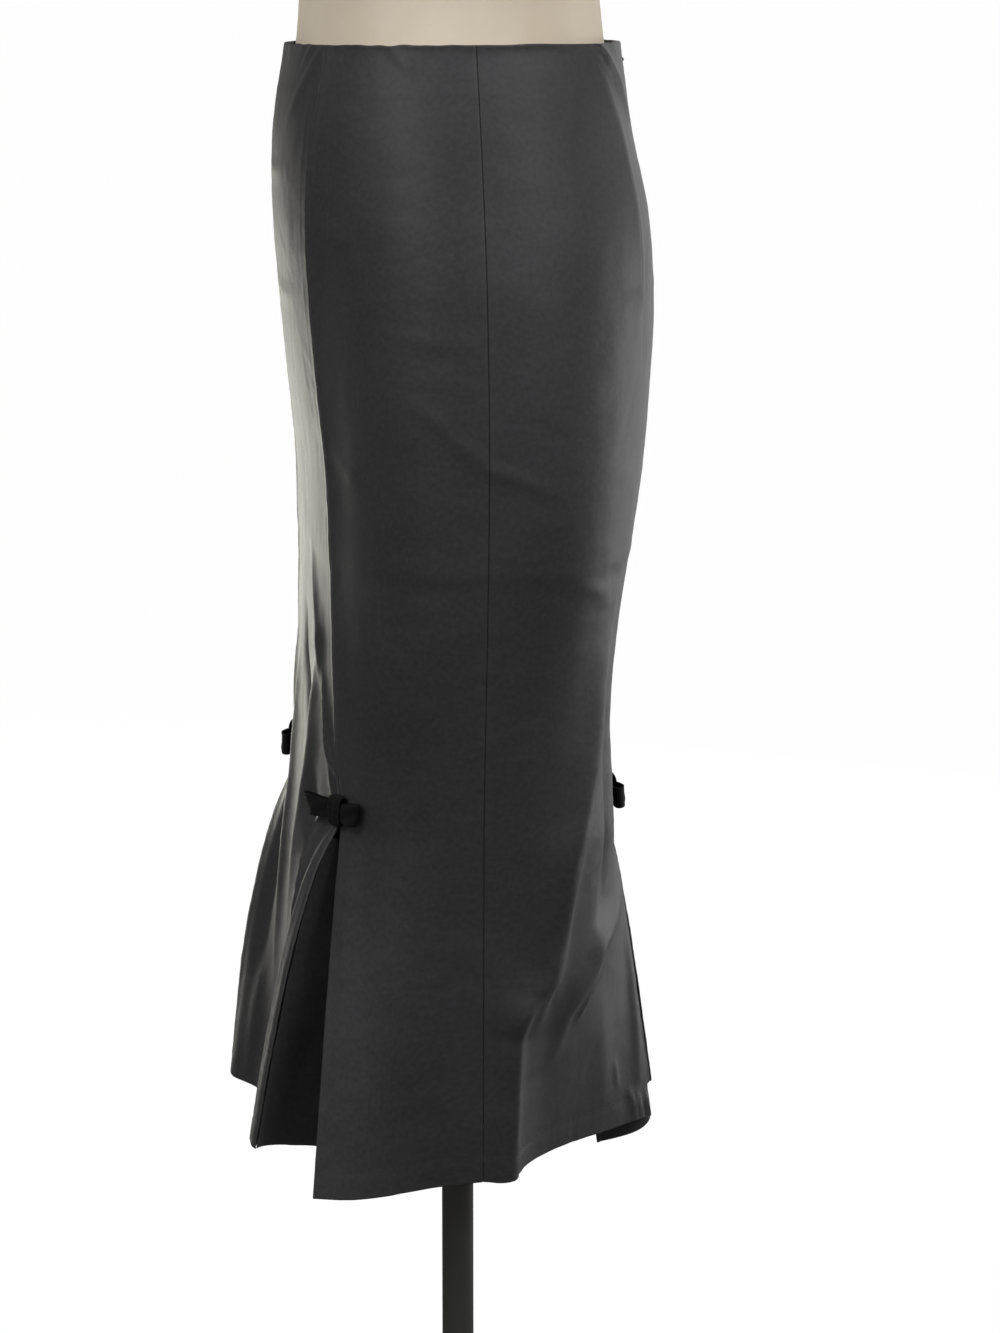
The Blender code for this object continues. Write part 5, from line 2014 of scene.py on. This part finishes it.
@dataclass
class DressForm:
    """The limbless form under the skirt, padded and covered in jersey, with its neck cap."""

    columns: int = 144
    level_step: float = 5 * MM
    foot_radius: float = 6 * MM
    seam_depth: float = 0.7 * MM
    cap_radius: float = 46 * MM

    def torso(self) -> Object:
        """Make the covered torso: a tube of level rings, closed at the underside and the neck.

        Returns:
            The torso.
        """
        foot, waist, neck = FORM.form_underside, FORM.top - 0.004, BUST_SECTIONS[-1].z
        hips = np.arange(foot + self.foot_radius, waist, self.level_step)
        rolled = [(0.0, 0.965), (0.10, 0.978), (0.35, 0.990), (0.65, 0.997), (1.0, 1.0)]
        turns = np.linspace(0.0, 2 * math.pi, self.columns + 1)
        rings = []
        for rise, scale in rolled[:-1]:
            ring = FORM.place(np.full(turns.shape, hips[0]), turns, inset=STAND_OFFS)
            ring[:, :2] *= scale
            ring[:, 2] = foot + rise * self.foot_radius
            rings.append(ring)
        for z in hips:
            ring = FORM.place(np.full(turns.shape, z), turns, inset=STAND_OFFS)
            ring[:, :2] *= 1 - 0.014 * float(eased(np.array((0.985 - z) / 0.05)))
            rings.append(ring)
        low, high = rings[-1], FORM.place(np.full(turns.shape, BUST_SECTIONS[0].z), turns, BUST_SECTIONS)
        for f in (0.2, 0.4, 0.6, 0.8):
            rings.append(low + (high - low) * f)
        for z in np.arange(BUST_SECTIONS[0].z, neck + 1e-6, self.level_step):
            rings.append(FORM.place(np.full(turns.shape, z), turns, BUST_SECTIONS))
        grid = np.array(rings[::-1])
        for _ in range(3):
            grid[1:-1] = (grid[:-2] + grid[1:-1] * 2 + grid[2:]) / 4
        middle = grid[:, :-1].mean(axis=1, keepdims=True)
        outward = (grid - middle) * (1, 1, 0)
        outward /= np.linalg.norm(outward, axis=2, keepdims=True)
        for seam in (QUARTER, 3 * QUARTER):
            reach = (turns - seam) * 0.14
            grid = grid - outward * (self.seam_depth * np.exp(-((reach / (1.6 * MM)) ** 2)))[None, :, None]
        run = np.cumsum(np.linalg.norm(np.diff(grid, axis=1, prepend=grid[:, :1]), axis=2), axis=1)
        flat = np.stack([run, grid[:, :, 2]], axis=2)
        item = surface_from_grid("form_torso_jersey", grid, flat)
        edit_whole(item)
        bpy.ops.mesh.remove_doubles(threshold=SAME_PLACE)
        bpy.ops.mesh.select_all(action="DESELECT")
        bpy.ops.mesh.select_mode(type="EDGE")
        bpy.ops.mesh.select_non_manifold()
        bpy.ops.mesh.fill_holes(sides=0)
        bpy.ops.mesh.select_all(action="SELECT")
        bpy.ops.mesh.normals_make_consistent(inside=False)
        bpy.ops.object.mode_set(mode="OBJECT")
        smooth_shade(item, 50.0)
        return stand_for(item, "form_torso")

    def neck_cap(self) -> Object:
        """Make the painted cap on the neck, turned with a soft crown.

        Returns:
            The cap.
        """
        low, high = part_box("form_neck_cap")
        outline = [
            (self.cap_radius - 1 * MM, 0.0), (self.cap_radius, 1 * MM), (self.cap_radius, 4 * MM),
            (45 * MM, 6.5 * MM), (42 * MM, 9.5 * MM), (37 * MM, 12.6 * MM), (30 * MM, 15.6 * MM),
            (20 * MM, 18.2 * MM), (10 * MM, 19.6 * MM), (1 * MM, 20 * MM),
        ]
        item = turned_piece("form_neck_cap_painted", outline)
        item.location = ((low.x + high.x) / 2, (low.y + high.y) / 2, low.z)
        settle(item)
        return stand_for(item, "form_neck_cap")


@dataclass
class PoleStand:
    """What the form stands on: a flange under it, a pole, and a round base with a hub."""

    def flange(self) -> Object:
        """Make the flange that the form is screwed to.

        Returns:
            The flange.
        """
        low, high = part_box("pole_flange")
        radius, edge = high.x, 0.8 * MM
        outline = [
            (radius - edge, low.z), (radius - edge * 0.3, low.z + edge * 0.3), (radius, low.z + edge),
            (radius, high.z - edge), (radius - edge * 0.3, high.z - edge * 0.3), (radius - edge, high.z),
        ]
        item = turned_piece("pole_flange_painted", outline)
        return stand_for(item, "pole_flange")

    def pole(self) -> Object:
        """Make the pole, a straight tube with eased ends.

        Returns:
            The pole.
        """
        low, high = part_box("pole")
        radius, edge = high.x, 0.6 * MM
        outline = [
            (radius - edge, low.z), (radius, low.z + edge), (radius, high.z - edge), (radius - edge, high.z),
        ]
        item = turned_piece("pole_painted", outline, 64)
        return stand_for(item, "pole")

    def base(self) -> Object:
        """Make the base: a disc with a rounded rim, a coved hub, and a thumb-tight collar line.

        Returns:
            The base.
        """
        low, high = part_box("base_disc")
        radius, hub = high.x, 17 * MM
        outline = [
            (radius - 2.0 * MM, 0.0), (radius - 0.6 * MM, 0.5 * MM), (radius, 1.8 * MM), (radius, 5.6 * MM),
            (radius - 0.6 * MM, 7.2 * MM), (radius - 2.2 * MM, 8.0 * MM), (radius - 20 * MM, 8.0 * MM),
            (36 * MM, 8.0 * MM), (32 * MM, 8.6 * MM), (27 * MM, 11.5 * MM), (23.5 * MM, 16 * MM),
            (21 * MM, 23 * MM), (19.4 * MM, 31 * MM), (19.0 * MM, 35.2 * MM), (18.2 * MM, 35.8 * MM),
            (18.2 * MM, 36.6 * MM), (18.6 * MM, 37.2 * MM), (18.2 * MM, 39.2 * MM), (hub, high.z),
            (10.4 * MM, high.z),
        ]
        item = turned_piece("base_disc_painted", outline, 160)
        return stand_for(item, "base_disc")


# ---- studio


@dataclass
class Studio:
    """The camera, the pale floor and the soft lights."""

    azimuth: float = 80.0
    pitch: float = 12.0
    distance: float = 2.40
    aside: float = 0.027
    camera_z: float = 1.127
    lens: float = 106.95
    room_behind: float = 0.10
    room_before: float = 0.53
    floor_throws: float = 0.15

    def camera(self) -> None:
        """Place the camera at the photograph's angle."""
        turn = math.radians(self.azimuth)
        away = Vector((math.sin(turn), -math.cos(turn), 0.0))
        right = Vector((math.cos(turn), math.sin(turn), 0.0))
        data = bpy.data.cameras.new("camera")
        data.lens = self.lens
        data.sensor_width = 36.0
        made = bpy.data.objects.new("camera", data)
        made.location = away * self.distance + right * self.aside + Vector((0.0, 0.0, self.camera_z))
        pitch = math.radians(self.pitch)
        look = -away * math.cos(pitch) - Vector((0.0, 0.0, math.sin(pitch)))
        made.rotation_euler = look.to_track_quat("-Z", "Y").to_euler()
        bpy.context.scene.collection.objects.link(made)
        bpy.context.scene.camera = made

    def lamp(
        self, name: str, place: Vector, target: Vector, size: tuple[float, float], watts: float,
        colour: tuple[float, float, float] = (1.0, 1.0, 1.0), spread: float = 180.0,
    ) -> None:
        """Hang one soft rectangular lamp, which the camera doesn't see.

        Args:
            name: The lamp's name.
            place: Where it hangs.
            target: What it points at.
            size: Its width and height in metres.
            watts: Its power.
            colour: Its colour.
            spread: How wide its light fans out, in degrees.
        """
        data = bpy.data.lights.new(name, "AREA")
        data.spread = math.radians(spread)
        data.color = colour
        data.shape = "RECTANGLE"
        data.size, data.size_y = size
        data.energy = watts
        made = bpy.data.objects.new(name, data)
        made.location = place
        made.rotation_euler = (target - place).to_track_quat("-Z", "Y").to_euler()
        made.visible_camera = False
        bpy.context.scene.collection.objects.link(made)

    def lights(self) -> None:
        """Light the form from high beside the camera, from a lit floor behind, and from a tall card."""
        hips = Vector((0.0, 0.0, 0.95))
        bust = Vector((0.05, 0.0, 1.10))
        self.lamp("right_key", Vector((1.34, 1.05, 2.15)), bust, (0.9, 0.9), 1.9, spread=66.0)
        self.lamp("left_key", Vector((0.90, -1.44, 2.15)), bust, (0.9, 0.9), 1.9, spread=66.0)
        lit_floor = Vector((-3.14, -0.45, 0.02))
        self.lamp("floor_card", lit_floor, lit_floor + Vector((0, 0, 1)), (2.5, 1.8), 64.0, (1.0, 0.99, 0.88))
        self.lamp("tall_card", Vector((-2.0, 1.25, 0.90)), hips, (2.0, 1.6), 11.0)
        flare = Vector((0.05, 0.10, 0.50))
        self.lamp("side_card", Vector((-0.75, 2.2, 0.42)), flare, (0.9, 0.7), 1.5, spread=60.0)
        shin = Vector((0.0, -0.10, 0.62))
        self.lamp("shin_card", Vector((-2.6, -0.75, 0.40)), shin, (0.9, 0.5), 0.7,
                  (1.0, 0.99, 0.88), spread=60.0)

    def floor(self) -> None:
        """Lay a pale floor, seen white but throwing little light back up."""
        deselect_all()
        bpy.ops.mesh.primitive_circle_add(vertices=96, radius=40.0, fill_type="NGON")
        floor = named("floor")
        settle(floor)
        made = bpy.data.materials.new("pale_floor")
        made.use_nodes = True
        tree = made.node_tree
        tree.nodes.clear()
        seen = add_node(tree, "ShaderNodeBsdfDiffuse", {"Color": linear("#5a5a59")})
        glow = add_node(tree, "ShaderNodeEmission", {"Color": linear("#fdfdfd"), "Strength": 0.97})
        both = add_node(tree, "ShaderNodeAddShader", links={0: seen.outputs[0], 1: glow.outputs[0]})
        thrown = add_node(tree, "ShaderNodeBsdfDiffuse", {"Color": grey(self.floor_throws)})
        path = add_node(tree, "ShaderNodeLightPath")
        mix = add_node(
            tree, "ShaderNodeMixShader",
            links={0: path.outputs["Is Camera Ray"], 1: thrown.outputs[0], 2: both.outputs[0]},
        )
        add_node(tree, "ShaderNodeOutputMaterial", links={"Surface": mix.outputs[0]})
        floor.data.materials.append(made)

    def room(self) -> None:
        """Set the white room: bright behind the form, dimmer on the camera's side."""
        world = bpy.data.worlds.new("white_room")
        bpy.context.scene.world = world
        world.use_nodes = True
        tree = world.node_tree
        tree.nodes.clear()
        way = add_node(tree, "ShaderNodeTexCoord").outputs["Generated"]
        parts = add_node(tree, "ShaderNodeSeparateXYZ", links={0: way})
        strength = add_node(
            tree, "ShaderNodeMapRange",
            {"interpolation_type": "SMOOTHSTEP", 1: -0.50, 2: 0.10, 3: self.room_behind, 4: self.room_before},
            {0: parts.outputs["X"]},
        )
        seen = add_node(tree, "ShaderNodeBackground", {"Color": grey(1.0), "Strength": 1.0})
        felt = add_node(
            tree, "ShaderNodeBackground", {"Color": (1.0, 0.99, 1.0, 1.0)}, {"Strength": strength.outputs[0]}
        )
        path = add_node(tree, "ShaderNodeLightPath")
        mix = add_node(
            tree, "ShaderNodeMixShader",
            links={0: path.outputs["Is Camera Ray"], 1: felt.outputs[0], 2: seen.outputs[0]},
        )
        add_node(tree, "ShaderNodeOutputWorld", links={"Surface": mix.outputs[0]})
        view = bpy.context.scene.view_settings
        view.view_transform = "Standard"
        view.look = "None"
        view.exposure = 0.0


# ---- the whole object


def main() -> None:
    """Build every piece in order and dress it, and log all but the skirt's panels and their stitches."""
    studio = Studio()
    studio.camera()
    wardrobe = Wardrobe()

    stand, form = PoleStand(), DressForm()
    for piece in (stand.base(), stand.pole(), stand.flange(), form.neck_cap()):
        wardrobe.dress(piece, STEEL)
        log.info("stand: %s", piece.name)
    torso = wardrobe.dress(form.torso(), JERSEY)
    log.info("form: %s", torso.name)

    panels = {panel.name: panel for panel in skirt_panels()}
    close_seams(list(panels.values()))
    for panel in panels.values():
        cloth = wardrobe.dress(panel.build(), COTTON)
        sewing = wardrobe.dress(panel.stitches(), THREAD)
        panel.declare(cloth, sewing)

    inlays = [
        PleatInlay("front_inlay_left", panels["front_panel"], panels["side_front_left"],
                   (0.0880, -0.080), (0.090, -0.083), 0.3370, 21),
        PleatInlay("front_inlay_right", panels["side_front_right"], panels["front_panel"],
                   (-0.0880, -0.080), (-0.090, -0.081), 0.3330, 22),
        PleatInlay("back_inlay", panels["back_left"], panels["back_right"],
                   (0.0, 0.085), (0.013, 0.090), 0.3085, 23),
    ]
    for inlay in inlays:
        wardrobe.dress(inlay.build(), COTTON)

    for bow in skirt_bows():
        for piece in (bow.loops(), bow.knot()):
            wardrobe.dress(piece, RIBBON)
            log.info("bow: %s", piece.name)

    back_zip = BackZip()
    wardrobe.dress(back_zip.coil(), COIL)
    wardrobe.dress(back_zip.slider(), ZIP_METAL)
    wardrobe.dress(back_zip.pull(), ZIP_METAL)
    log.info("zip: chain, slider and pull")

    studio.lights()
    studio.floor()
    studio.room()


if __name__ == "__main__":
    main()
